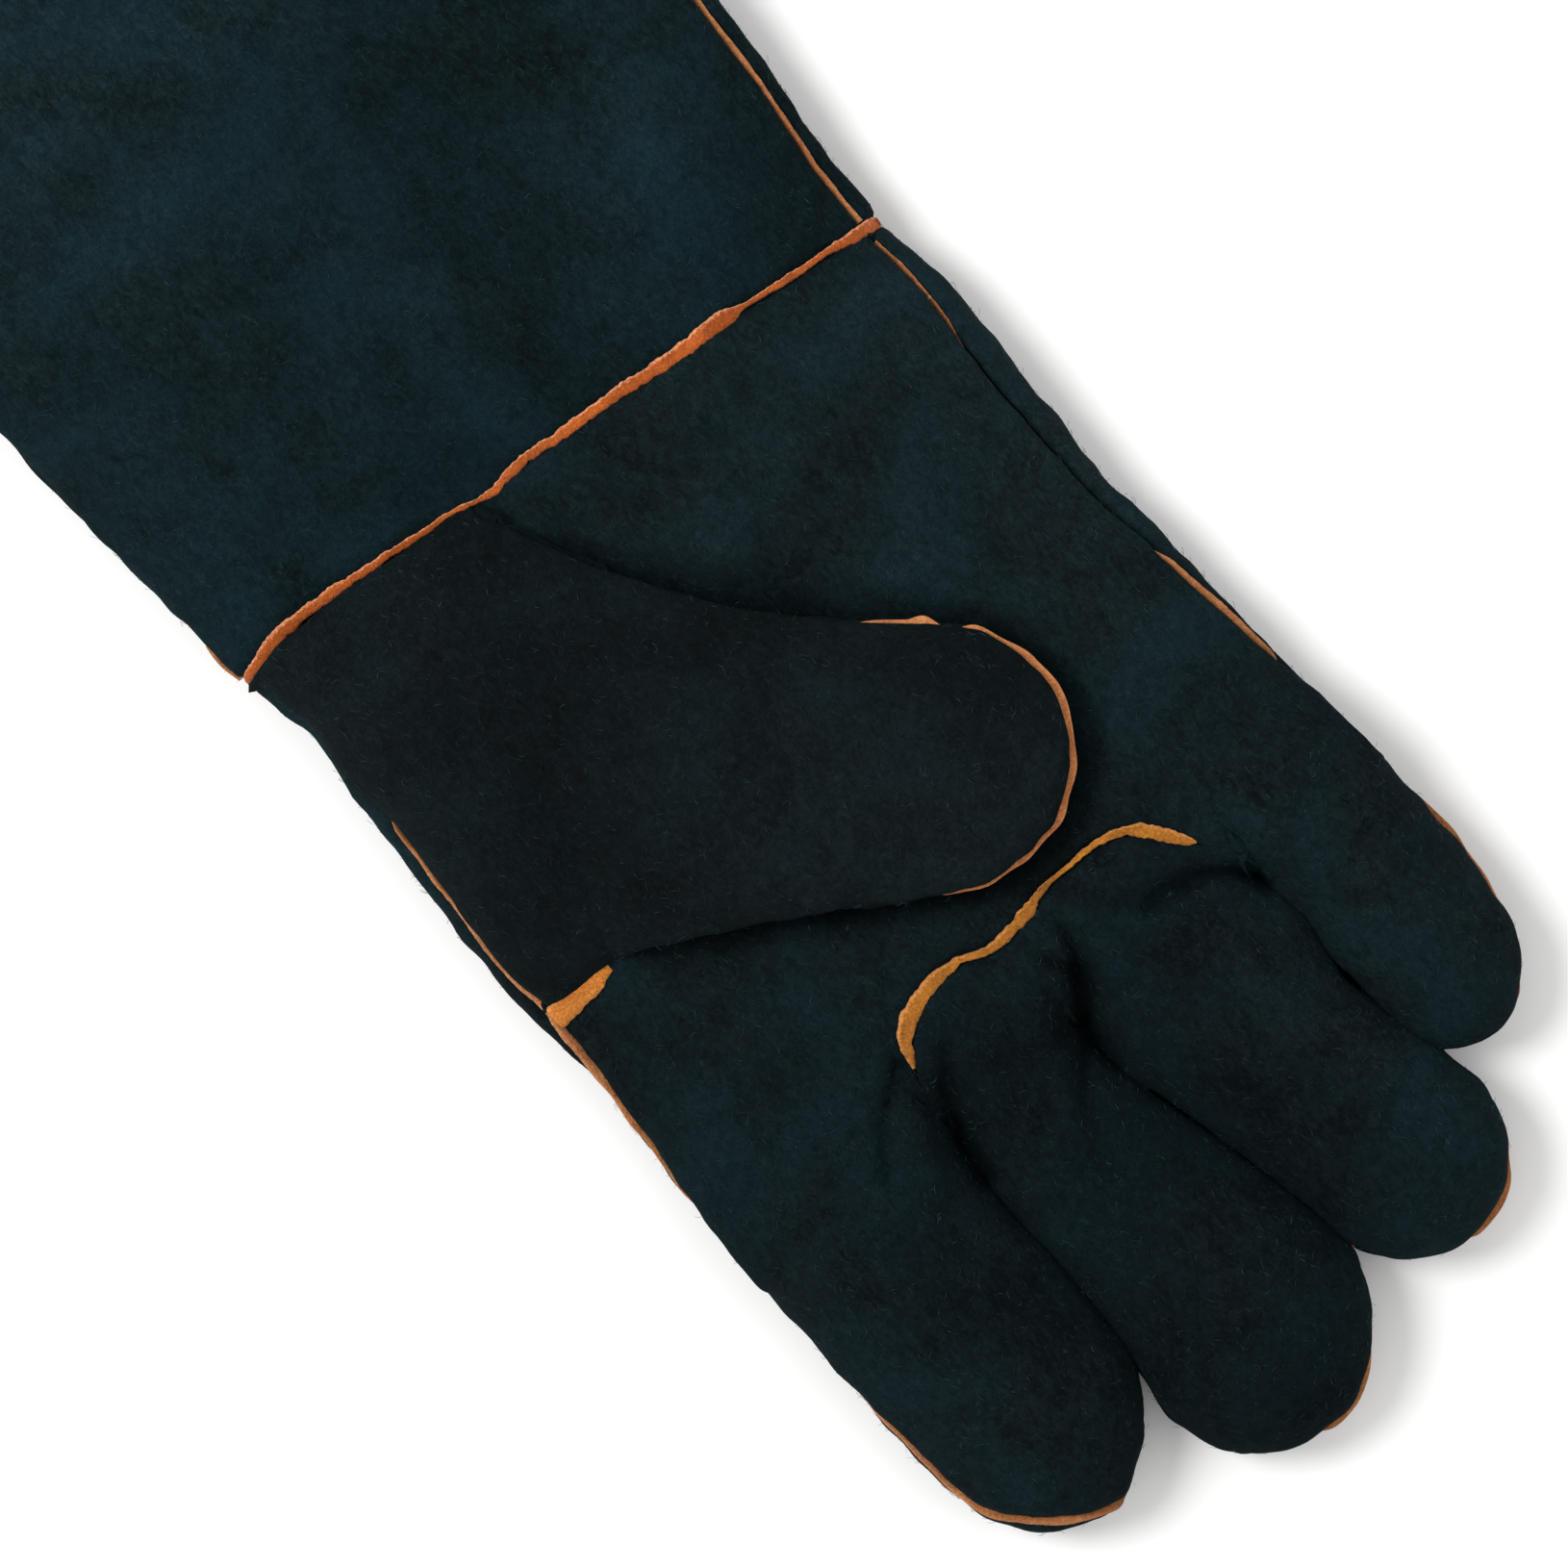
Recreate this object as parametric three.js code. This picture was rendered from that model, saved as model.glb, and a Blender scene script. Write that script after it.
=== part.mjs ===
// A suede gauntlet for hot work, right hand, lying on its back with the palm up and the thumb folded
// over the palm. Split-leather panels are sewn edge to edge with a narrow welt strip in every seam.
// Millimetres. X runs across the hand towards the thumb side, Y towards the fingertips, Z up.
import * as THREE from 'three';

// Driving sizes of the glove laid flat.
const handLength = 225; // wrist seam to middle fingertip
const palmWidth = 148; // across the knuckles
const cuffLength = 175; // hem to wrist seam
const hemWidth = 163; // across the cuff mouth
const palmDepth = 27; // the hand's height off the table
const fingerDepth = 25;
const hemDepth = 36; // height of the cuff mouth
const thumbDepth = 21;
const leatherWall = 1.4;
const stripThickness = 1.0; // welt strip in the side seams
const stripWidth = 2.2; // widest showing face of the welt in the cross seams
const rootWeltWidth = 3.2; // the short wide welt at the thumb's root
const stripTuck = 0.8; // how far a welt reaches past the inside of the leather
const stripShow = 1.0; // how far a welt stands out of the leather
const seamGap = 0.3; // between a welt and the leather beside it
const fingerGap = 1.2; // between neighbouring fingers
const thumbClearance = 1.2; // between the thumb and the palm under it

// Shares of the depth, and how square each section is: 2 is an ellipse, more is boxier.
const seamHeightShare = 0.42;
const palmCrown = 2.5;
const fingerCrown = 2.2;
const thumbCrown = 2.2;
const underCrown = 4.5;
const underFlat = 1.05; // over 1 leaves the middle of the underside level with the table
const bedShare = 0.26; // how far the palm is pressed down by the thumb, of palmDepth
const heelShare = 0.62; // rise of the thumb's heel over the hand, of thumbDepth

const halfPalm = palmWidth / 2;
const sideInset = stripThickness / 2 + seamGap;
const crossInset = stripWidth / 2 + seamGap;
const rootInset = rootWeltWidth / 2 + seamGap;

// The hand's outline: along as a share of handLength, the other columns as shares of halfPalm.
// A wrap is how far inside the outline the side seam lies on the palm side.
const handSections = [
  { along: -0.027, thumbSide: 0.968, littleSide: 0.975, thumbWrap: 0, littleWrap: 0.045, depth: 0.94 },
  { along: 0.02, thumbSide: 0.93, littleSide: 0.966, thumbWrap: 0, littleWrap: 0.045, depth: 0.95 },
  { along: 0.09, thumbSide: 0.93, littleSide: 0.988, thumbWrap: 0, littleWrap: 0.05, depth: 0.97 },
  { along: 0.22, thumbSide: 0.954, littleSide: 0.975, thumbWrap: 0.024, littleWrap: 0.064, depth: 1 },
  { along: 0.36, thumbSide: 0.953, littleSide: 0.972, thumbWrap: 0.014, littleWrap: 0.034, depth: 1 },
  { along: 0.49, thumbSide: 0.957, littleSide: 1.004, thumbWrap: 0, littleWrap: 0, depth: 0.98 },
  { along: 0.618, thumbSide: 0.973, littleSide: 1.027, thumbWrap: 0, littleWrap: 0, depth: 0.95 },
];
const crotchAlong = 0.618;

// The cuff, from hem to wrist: along as a share of cuffLength, flare and depth from the wrist's (0) to
// the hem's (1).
const cuffSections = [
  { along: 0, flare: 1, depth: 1 },
  { along: 0.35, flare: 0.66, depth: 0.8 },
  { along: 0.7, flare: 0.36, depth: 0.45 },
  { along: 0.9, flare: 0.2, depth: 0.15 },
  { along: 1, flare: 0, depth: 0 },
];
const hemThumbShare = 0.487; // of hemWidth, on the thumb's side of the hand's middle line

// The wrist seam slants across the glove: x as a share of halfPalm, along of handLength.
const wristSeam = [
  { x: -1, along: 0.025 },
  { x: -0.5, along: 0.006 },
  { x: 0, along: -0.008 },
  { x: 0.3, along: -0.018 },
  { x: 0.65, along: -0.035 },
  { x: 1, along: -0.026 },
];

// The seam where the two middle finger fronts join the palm, in the same shares.
const fingerSeam = [
  { x: -0.608, along: 0.59 },
  { x: -0.5, along: 0.55 },
  { x: -0.36, along: 0.521 },
  { x: -0.13, along: 0.519 },
  { x: 0, along: 0.526 },
  { x: 0.13, along: 0.513 },
  { x: 0.28, along: 0.526 },
  { x: 0.372, along: 0.588 },
];

// Fingers from the little one to the index. Shares of halfPalm across and of handLength along. Each
// has a base at the crotch, a middle, a shoulder where the round tip starts, and its tip.
const fingers = [
  {
    name: 'little', columns: 5, shoulder: 0.765, tip: 0.844, depth: 0.88,
    low: [-1.027, -1.03, -1.008], high: [-0.608, -0.616, -0.626],
  },
  {
    name: 'ring', columns: 6, shoulder: 0.866, tip: 0.958, depth: 0.97,
    low: [-0.608, -0.618, -0.68], high: [-0.034, -0.11, -0.176],
  },
  {
    name: 'middle', columns: 5, shoulder: 0.893, tip: 1, depth: 1,
    low: [-0.034, -0.118, -0.18], high: [0.372, 0.38, 0.415],
  },
  {
    name: 'index', columns: 6, shoulder: 0.828, tip: 0.932, depth: 1,
    low: [0.372, 0.388, 0.392], high: [0.973, 0.975, 0.96],
  },
];

// Folds pressed into the palm side, as grooves between two points. Shares of halfPalm, handLength and
// palmDepth.
const folds = [
  { x: 0.36, along: 0.55, toX: 0.6, toAlong: 0.6, width: 0.055, depth: 0.06 },
  { x: -0.58, along: 0.605, toX: -0.3, toAlong: 0.565, width: 0.06, depth: 0.14 },
  { x: -0.05, along: 0.62, toX: -0.14, toAlong: 0.55, width: 0.06, depth: 0.12 },
  { x: -0.02, along: 0.64, toX: 0.12, toAlong: 0.7, width: 0.05, depth: 0.08 },
  { x: 0.34, along: 0.6, toX: 0.22, toAlong: 0.555, width: 0.055, depth: 0.1 },
];

// Ribs across the free thumb, from the line where it leaves the hand to where its round tip starts.
// Each has an end on the wrist's side and one on the index finger's, in shares of halfPalm and
// handLength; lift is its seam's height over the palm and rise its top's over the seam, in shares of
// thumbDepth.
const thumbRibs = [
  { wristX: 0.251, wristAlong: -0.016, indexX: 0.716, indexAlong: 0.33, lift: 0.17, rise: 0.56 },
  { wristX: 0.123, wristAlong: 0.079, indexX: 0.589, indexAlong: 0.352, lift: 0.24, rise: 0.54 },
  { wristX: -0.057, wristAlong: 0.178, indexX: 0.378, indexAlong: 0.393, lift: 0.28, rise: 0.5 },
  { wristX: -0.207, wristAlong: 0.237, indexX: 0.216, indexAlong: 0.425, lift: 0.28, rise: 0.48 },
  { wristX: -0.357, wristAlong: 0.284, indexX: 0.047, indexAlong: 0.458, lift: 0.26, rise: 0.44 },
];
const thumbTipShare = 1.16; // length of the round tip, of half the last rib

// Widths of the welts in the cross seams, at shares of the way along each, as shares of stripWidth.
const wristWeltWidths = [
  { at: 0, width: 0.8 },
  { at: 0.2, width: 0.5 },
  { at: 0.28, width: 0.95 },
  { at: 0.5, width: 0.8 },
  { at: 0.66, width: 0.5 },
  { at: 0.85, width: 0.85 },
  { at: 1, width: 0.6 },
];
const fingerWeltWidths = [
  { at: 0, width: 0.4 },
  { at: 0.25, width: 0.55 },
  { at: 0.5, width: 0.6 },
  { at: 0.7, width: 0.7 },
  { at: 0.88, width: 0.9 },
  { at: 1, width: 0.4 },
];

const mix = (a, b, share) => a + (b - a) * share;
const clamp = (x, low, high) => Math.min(high, Math.max(low, x));
const smooth = (x) => {
  const s = clamp(x, 0, 1);
  return s * s * (3 - 2 * s);
};
const range = (from, to) => Array.from({ length: to - from + 1 }, (_, i) => from + i);
const point = (x, y, z) => new THREE.Vector3(x, y, z);
const flat = (x, y) => new THREE.Vector2(x, y);
const outward = (side) => point(side, 0, 0);

// Places from -1 to 1 across a rounded section, closer together towards its edges.
const acrossSteps = (n) => range(0, n).map((i) => Math.sin((i / n - 0.5) * Math.PI));

// Height of a rounded section at r from its middle (0) to its edge (1).
const crown = (r, power) => (1 - clamp(Math.abs(r), 0, 1) ** power) ** (1 / power);
const underside = (r, seam) => Math.max(0, seam * (1 - underFlat * crown(r, underCrown)));

// A smooth curve through one column of a table, read at a value of its key column.
function read(table, key, column, at) {
  const last = table.length - 1;
  const x = clamp(at, table[0][key], table[last][key]);
  let i = 0;
  while (i < last - 1 && x > table[i + 1][key]) i += 1;
  const slope = (k) => {
    const a = table[Math.max(k - 1, 0)];
    const b = table[Math.min(k + 1, last)];
    return (b[column] - a[column]) / (b[key] - a[key]);
  };
  const span = table[i + 1][key] - table[i][key];
  const s = (x - table[i][key]) / span;
  const ends = mix(table[i][column], table[i + 1][column], s * s * (3 - 2 * s));
  const bends = s * (1 - s) * ((1 - s) * slope(i) - s * slope(i + 1)) * span;
  return ends + bends;
}

// The outline at y: edges, wraps and depth, in millimetres, for the hand or the cuff.
function outlineAt(y) {
  const at = y / handLength;
  const line = {
    high: read(handSections, 'along', 'thumbSide', at) * halfPalm,
    low: -read(handSections, 'along', 'littleSide', at) * halfPalm,
    highWrap: Math.max(read(handSections, 'along', 'thumbWrap', at), 0) * halfPalm,
    lowWrap: Math.max(read(handSections, 'along', 'littleWrap', at), 0) * halfPalm,
    depth: read(handSections, 'along', 'depth', at) * palmDepth,
  };
  const wrist = Math.min(...wristSeam.map((row) => row.along)) * handLength;
  if (y < wrist) {
    const share = (y + cuffLength) / (cuffLength + wrist);
    const flare = read(cuffSections, 'along', 'flare', share);
    line.high = mix(line.high, hemWidth * hemThumbShare, flare);
    line.low = mix(line.low, -hemWidth * (1 - hemThumbShare), flare);
    line.depth = mix(line.depth, hemDepth, read(cuffSections, 'along', 'depth', share));
  }
  line.middle = (line.high + line.low) / 2;
  line.half = (line.high - line.low) / 2;
  return line;
}

const wristY = (x) => read(wristSeam, 'x', 'along', x / halfPalm) * handLength;
const crotchY = crotchAlong * handLength;
const rootY = thumbRibs[0].indexAlong * handLength;
const knuckleY = (x) => {
  const ends = [fingerSeam[0].x, fingerSeam[fingerSeam.length - 1].x];
  return read(fingerSeam, 'x', 'along', clamp(x / halfPalm, ...ends)) * handLength;
};

// How far the palm has become four fingers at y: 0 at the palm, 1 at the crotches.
const fingered = (y) => clamp((y / crotchY - 0.77) / 0.23, 0, 1) ** 1.6;

// Height of the side seam over the table.
function seamZ(y) {
  const handY = Math.min(y, crotchY);
  return mix(outlineAt(handY).depth, fingerDepth, fingered(handY)) * seamHeightShare;
}

function foldDepth(x, y) {
  let sunk = 0;
  for (const fold of folds) {
    const from = flat(fold.x * halfPalm, fold.along * handLength);
    const run = flat(fold.toX * halfPalm, fold.toAlong * handLength).sub(from);
    const here = flat(x, y).sub(from);
    const share = clamp(here.dot(run) / run.lengthSq(), 0, 1);
    const off = here.sub(run.multiplyScalar(share)).length() / (fold.width * halfPalm);
    sunk += fold.depth * palmDepth * Math.exp(-off * off);
  }
  return sunk;
}

const wristEnd = (rib) => flat(rib.wristX * halfPalm, rib.wristAlong * handLength);
const indexEnd = (rib) => flat(rib.indexX * halfPalm, rib.indexAlong * handLength);
const ribMiddle = (rib) => wristEnd(rib).lerp(indexEnd(rib), 0.5);
const firstRib = thumbRibs[0];
const lastRib = thumbRibs[thumbRibs.length - 1];
const thumbRun = ribMiddle(lastRib).sub(ribMiddle(firstRib));
const tipHalf = wristEnd(lastRib).distanceTo(indexEnd(lastRib)) / 2;

// How far the thumb lying on it presses the palm down.
function bedDepth(x, y) {
  const here = flat(x, y).sub(ribMiddle(firstRib));
  const run = thumbRun.clone().normalize();
  const along = here.dot(run) / thumbRun.length();
  const half = tipHalf * mix(1.5, 1.2, clamp(along, 0, 1));
  const side = 1 - clamp(Math.abs(here.cross(run)) / half, 0, 1) ** 2;
  const ends = smooth((1.6 - along) / 0.5) * smooth(y / (0.15 * handLength));
  return bedShare * palmDepth * side * ends;
}

// Top of the hand at a place, where across runs from -1 to 1 over the finger beyond it.
function palmTop(x, y, across = 0, pressed = true) {
  const line = outlineAt(y);
  const t = (x - line.middle) / line.half;
  const whole = crown(t, palmCrown) * line.depth * (1 - seamHeightShare);
  const split = crown(across, fingerCrown) * fingerDepth * (1 - seamHeightShare);
  const settled = crown(t, 6) * mix(1, crown(across, 6), fingered(y));
  const sunk = pressed ? (bedDepth(x, y) + foldDepth(x, y)) * settled : 0;
  return seamZ(y) + mix(whole, split, fingered(y)) - sunk;
}

// Underside of the hand: flat on the table, rising between the fingers.
function palmUnder(x, y, across) {
  const line = outlineAt(y);
  const seam = seamZ(y);
  const whole = underside((x - line.middle) / line.half, seam);
  return mix(whole, underside(across, seam), fingered(y));
}

// Direction square to the leather's outer face at a place on the palm side.
function palmNormal(x, y, across = 0) {
  const reach = 0.5;
  const slopeX = palmTop(x + reach, y, across) - palmTop(x - reach, y, across);
  const slopeY = palmTop(x, y + reach, across) - palmTop(x, y - reach, across);
  return point(-slopeX, -slopeY, 2 * reach).normalize();
}

// Where the side seam lies at y, on the little finger's side (-1) or the thumb's (1), and which way is
// out of the leather there.
function sideSeam(y, side) {
  const line = outlineAt(y);
  const wrap = side < 0 ? line.lowWrap : line.highWrap;
  const x = line.middle + side * (line.half - wrap);
  if (wrap === 0) return { p: point(x, y, seamZ(y)), out: outward(side) };
  const t = 1 - wrap / line.half;
  const height = line.depth * (1 - seamHeightShare);
  const slope = (height / line.half) * (t / crown(t, palmCrown)) ** (palmCrown - 1);
  const z = seamZ(y) + crown(t, palmCrown) * height;
  return { p: point(x, y, z), out: point(side * slope, 0, 1).normalize() };
}

// Columns of the hand from the little finger's side to the thumb's. Each knows its place across the
// whole palm at the wrist and at the crotches, and its place across its own finger.
const columns = [];
for (const finger of fingers) {
  for (const across of acrossSteps(finger.columns)) {
    const x = mix(finger.low[0], finger.high[0], (across + 1) / 2) * halfPalm;
    if (columns.length > 0 && across === -1) continue;
    columns.push({ across, x });
  }
}
const lastColumn = columns.length - 1;
columns.forEach((column, i) => {
  const [low, high] = [columns[0].x, columns[lastColumn].x];
  column.atCrotch = ((column.x - low) / (high - low)) * 2 - 1;
  column.atWrist = Math.sin((i / lastColumn - 0.5) * Math.PI);
});
const fingerStart = fingers.map((_, f) => fingers.slice(0, f).reduce((n, one) => n + one.columns, 0));

// Rows of the hand: wrist seam, root of the thumb, base of the middle fingers, crotches.
const heelRows = 8;
const palmRows = 12;
const handRows = 15;
const rowLines = [
  { row: 0, y: wristY },
  { row: heelRows, y: () => rootY },
  { row: palmRows, y: knuckleY },
  { row: handRows, y: () => crotchY },
];

// Share of the way from the wrist to the thumb's root at a row; the thumb's own columns match.
const heelShares = acrossSteps(heelRows).map((across) => (across + 1) / 2);

// Plan place of a column and row. A seamed row ends at the side seams, the others at the outline.
function handPlace(column, row, seamed) {
  const k = row < heelRows ? 0 : row < palmRows ? 1 : 2;
  const even = (row - rowLines[k].row) / (rowLines[k + 1].row - rowLines[k].row);
  const s = k === 0 ? heelShares[row] : even;
  const spread = mix(column.atWrist, column.atCrotch, smooth((row / handRows) * 1.08));
  let x = 0;
  let y = 0;
  for (const _ of range(1, 4)) {
    y = mix(rowLines[k].y(x), rowLines[k + 1].y(x), s);
    const low = seamed ? sideSeam(y, -1).p.x : outlineAt(y).low;
    const high = seamed ? sideSeam(y, 1).p.x : outlineAt(y).high;
    x = mix(low, high, (spread + 1) / 2);
  }
  return { x, y };
}

// A vertex of a panel. marks name the seams it lies on, and out is given where both panels of a seam
// must agree on the way out of the leather.
const vertex = (x, y, z, marks = [], out = null) => ({ p: point(x, y, z), marks, out });

// The hand's row of vertices over a range of columns.
const fullWidth = [0, lastColumn];
function handRow(row, columnRange, upper, marksAt = () => []) {
  return range(...columnRange).map((i) => {
    const column = columns[i];
    const { x, y } = handPlace(column, row, upper);
    const marks = [...marksAt(i)];
    if (row === 0) marks.push('cross');
    const z = upper ? palmTop(x, y, column.across) : palmUnder(x, y, column.across);
    if (i === 0 || i === lastColumn) {
      const side = i === 0 ? -1 : 1;
      const seam = sideSeam(y, side);
      const wrapped = outlineAt(y)[side < 0 ? 'lowWrap' : 'highWrap'] > 0;
      if (upper) return vertex(seam.p.x, y, seam.p.z, [...marks, 'side'], seam.out);
      return vertex(x, y, seamZ(y), wrapped ? marks : [...marks, 'side'], outward(side));
    }
    if (row === handRows && fingerStart.includes(i)) {
      return vertex(x, y, seamZ(y), [...marks, 'side'], point(0, 1, 0));
    }
    const sewn = upper && row >= palmRows && marks.includes('cross');
    return vertex(x, y, z, marks, sewn ? palmNormal(x, y, column.across) : null);
  });
}

// A finger's grid runs up its length and then closes over the round tip.
const fingerRows = 5;
const tipRows = 4;
function fingerEdges(f, share) {
  const finger = fingers[f];
  const table = [0, 0.6, 1].map((at, i) => ({ at, low: finger.low[i], high: finger.high[i] }));
  const open = (smooth(share * 4) * fingerGap) / 2;
  const low = read(table, 'at', 'low', share) * halfPalm + (f > 0 ? open : 0);
  const high = read(table, 'at', 'high', share) * halfPalm - (f < fingers.length - 1 ? open : 0);
  return { low, high };
}

function fingerVertex(f, row, across, upper) {
  const finger = fingers[f];
  const shoulderY = finger.shoulder * handLength;
  const tipLength = finger.tip * handLength - shoulderY;
  const share = Math.min(row / fingerRows, 1);
  const { low, high } = fingerEdges(f, share);
  const half = (high - low) / 2;
  const up = Math.max(row - fingerRows, 0) / tipRows;
  const u = across * Math.sqrt(1 - (up * up) / 2);
  const v = up * Math.sqrt(1 - (across * across) / 2);
  const x = (low + high) / 2 + half * u;
  const y = mix(crotchY, shoulderY, share) + tipLength * v;
  const r = Math.min(Math.hypot(u, v), 1);
  const seam = fingerDepth * seamHeightShare;
  const settled = smooth(row / 2); // the finger's own depth takes over from the palm's
  const height = fingerDepth * mix(1, finger.depth, settled) - seam;
  const edge = Math.abs(across) === 1 || up === 1;
  if (edge) return vertex(x, y, seam, ['side'], point(u / half, v / tipLength, 0).normalize());
  const z = upper ? seam + height * crown(r, fingerCrown) - foldDepth(x, y) : underside(r, seam);
  return vertex(x, y, z);
}

function fingerGrid(f, upper, marksAt) {
  const count = fingers[f].columns;
  const base = handRow(handRows, [fingerStart[f], fingerStart[f] + count], upper, marksAt);
  const rows = range(1, fingerRows + tipRows);
  return [base, ...rows.map((row) => acrossSteps(count).map((a) => fingerVertex(f, row, a, upper)))];
}

// A panel of leather: grids of vertices welded where they meet.
function makePanel() {
  const found = new Map();
  const panel = { points: [], marks: [], outs: [], faces: [] };
  const add = ({ p, marks, out }) => {
    const key = [p.x, p.y, p.z].map((n) => Math.round(n * 500)).join();
    if (!found.has(key)) {
      found.set(key, panel.points.length);
      panel.points.push(p.clone());
      panel.marks.push(new Set());
      panel.outs.push(out);
    }
    const at = found.get(key);
    marks.forEach((mark) => panel.marks[at].add(mark));
    return at;
  };
  const face = (a, b, c) => {
    if (a !== b && b !== c && a !== c) panel.faces.push([a, b, c]);
  };
  // Rows run up the glove, and the vertices in each run from the little finger's side to the thumb's.
  panel.grid = (rows, upper) => {
    const ids = rows.map((row) => row.map(add));
    for (let j = 0; j < ids.length - 1; j += 1) {
      for (let i = 0; i < ids[j].length - 1; i += 1) {
        const [a, b, c, d] = [ids[j][i], ids[j][i + 1], ids[j + 1][i + 1], ids[j + 1][i]];
        // A corner of a round tip is cut so that no face lies wholly in the seam.
        const onSeam = [a, c, d].every((at) => panel.marks[at].has('side'));
        const halves = onSeam ? [[a, b, d], [b, c, d]] : [[a, b, c], [a, c, d]];
        for (const [k, l, m] of halves) {
          if (upper) face(k, l, m);
          else face(k, m, l);
        }
      }
    }
    return panel;
  };
  return panel;
}

// The edges that only one face has, each with its direction into the leather.
function openEdges({ points, outs, faces }) {
  const uses = new Map();
  for (const [a, b, c] of faces) {
    for (const [from, to, other] of [[a, b, c], [b, c, a], [c, a, b]]) {
      const twin = `${to},${from}`;
      if (uses.has(twin)) uses.delete(twin);
      else uses.set(`${from},${to}`, { from, to, other });
    }
  }
  return [...uses.values()].map((edge) => {
    const run = points[edge.to].clone().sub(points[edge.from]).normalize();
    const into = points[edge.other].clone().sub(points[edge.from]);
    into.addScaledVector(run, -into.dot(run));
    if (outs[edge.from] && outs[edge.to]) {
      const out = outs[edge.from].clone().add(outs[edge.to]);
      out.addScaledVector(run, -out.dot(run)).normalize();
      into.addScaledVector(out, -into.dot(out));
    }
    return { ...edge, into: into.normalize() };
  });
}

// Draws each sewn border back from its seam's middle line, to leave room for the welt.
function insetBorder(panel) {
  const room = { side: sideInset, cross: crossInset, root: rootInset };
  const pulls = new Map();
  for (const { from, to, into } of openEdges(panel)) {
    const shared = [...panel.marks[from]].filter((mark) => panel.marks[to].has(mark));
    const amount = Math.max(0, ...shared.map((mark) => room[mark]));
    for (const at of [from, to]) {
      if (!pulls.has(at)) pulls.set(at, []);
      pulls.get(at).push({ into, amount });
    }
  }
  for (const [at, [one, two]] of pulls) {
    const likeness = one.into.dot(two.into);
    if (likeness > 0.8) {
      const way = one.into.clone().add(two.into).normalize();
      panel.points[at].addScaledVector(way, (one.amount + two.amount) / 2);
    } else {
      const c = Math.max(likeness, -0.6);
      panel.points[at].addScaledVector(one.into, (one.amount - c * two.amount) / (1 - c * c));
      panel.points[at].addScaledVector(two.into, (two.amount - c * one.amount) / (1 - c * c));
    }
    panel.points[at].z = Math.max(panel.points[at].z, 0);
  }
}

function pointNormals({ points, outs, faces }) {
  const normals = points.map(() => point(0, 0, 0));
  for (const [a, b, c] of faces) {
    const ab = points[b].clone().sub(points[a]);
    const area = ab.cross(points[c].clone().sub(points[a]));
    for (const at of [a, b, c]) normals[at].add(area);
  }
  return normals.map((normal, at) => (outs[at] ?? normal).clone().normalize());
}

// The closed solid of a panel: its outer face, the same face one wall further in, and the cut edges.
function thicken(panel) {
  insetBorder(panel);
  const normals = pointNormals(panel);
  const count = panel.points.length;
  const inner = panel.points.map((p, i) => p.clone().addScaledVector(normals[i], -leatherWall));
  const index = [];
  for (const [a, b, c] of panel.faces) index.push(a, b, c, a + count, c + count, b + count);
  for (const { from, to } of openEdges(panel)) {
    index.push(to, from, from + count, to, from + count, to + count);
  }
  return new THREE.BufferGeometry().setFromPoints([...panel.points, ...inner]).setIndex(index);
}

// A welt strip swept along a seam. Each stop has its place p, the way out of the leather, the strip's
// width across the seam and how far it stands out.
function strip(stops) {
  const corners = [];
  stops.forEach((stop, i) => {
    const before = stops[Math.max(i - 1, 0)].p;
    const after = stops[Math.min(i + 1, stops.length - 1)].p;
    const along = after.clone().sub(before).normalize();
    const out = stop.out.clone().addScaledVector(along, -stop.out.dot(along)).normalize();
    const side = along.cross(out).normalize();
    const half = stop.width / 2;
    const inside = -leatherWall - stripTuck;
    for (const [across, up] of [[-half, stop.show], [half, stop.show], [half, inside], [-half, inside]]) {
      corners.push(stop.p.clone().addScaledVector(side, across).addScaledVector(out, up));
    }
  });
  const index = [];
  const around = 4;
  for (let i = 0; i < stops.length - 1; i += 1) {
    for (let k = 0; k < around; k += 1) {
      const a = i * around + k;
      const b = i * around + ((k + 1) % around);
      index.push(a, b, b + around, a, b + around, a + around);
    }
  }
  const end = (stops.length - 1) * around;
  index.push(0, 2, 1, 0, 3, 2, end, end + 1, end + 2, end, end + 2, end + 3);
  return new THREE.BufferGeometry().setFromPoints(corners).setIndex(index);
}

// Cuts a length off each end of a line of stops, measured along it.
function trim(stops, fromStart, fromEnd) {
  const cutStart = (list, length) => {
    const line = [...list];
    let left = length;
    while (line.length > 2 && line[0].p.distanceTo(line[1].p) <= left) {
      left -= line[0].p.distanceTo(line[1].p);
      line.shift();
    }
    const share = left / line[0].p.distanceTo(line[1].p);
    const p = line[0].p.clone().lerp(line[1].p, share);
    return [{ ...line[0], p }, ...line.slice(1)];
  };
  const started = cutStart(stops, fromStart);
  return cutStart(started.reverse(), fromEnd).reverse();
}

const darkSuede = () => new THREE.MeshStandardMaterial({ color: 0x14262d, roughness: 0.95, metalness: 0 });
const orangeWelt = () => new THREE.MeshStandardMaterial({ color: 0xd9752a, roughness: 0.8, metalness: 0 });

const glove = new THREE.Group();
function addPart(name, geometry, material) {
  const mesh = new THREE.Mesh(geometry, material);
  mesh.name = name;
  glove.add(mesh);
}
const addLeather = (name, panel) => addPart(name, thicken(panel), darkSuede());
const addWelt = (name, stops) => addPart(name, strip(stops), orangeWelt());

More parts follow.
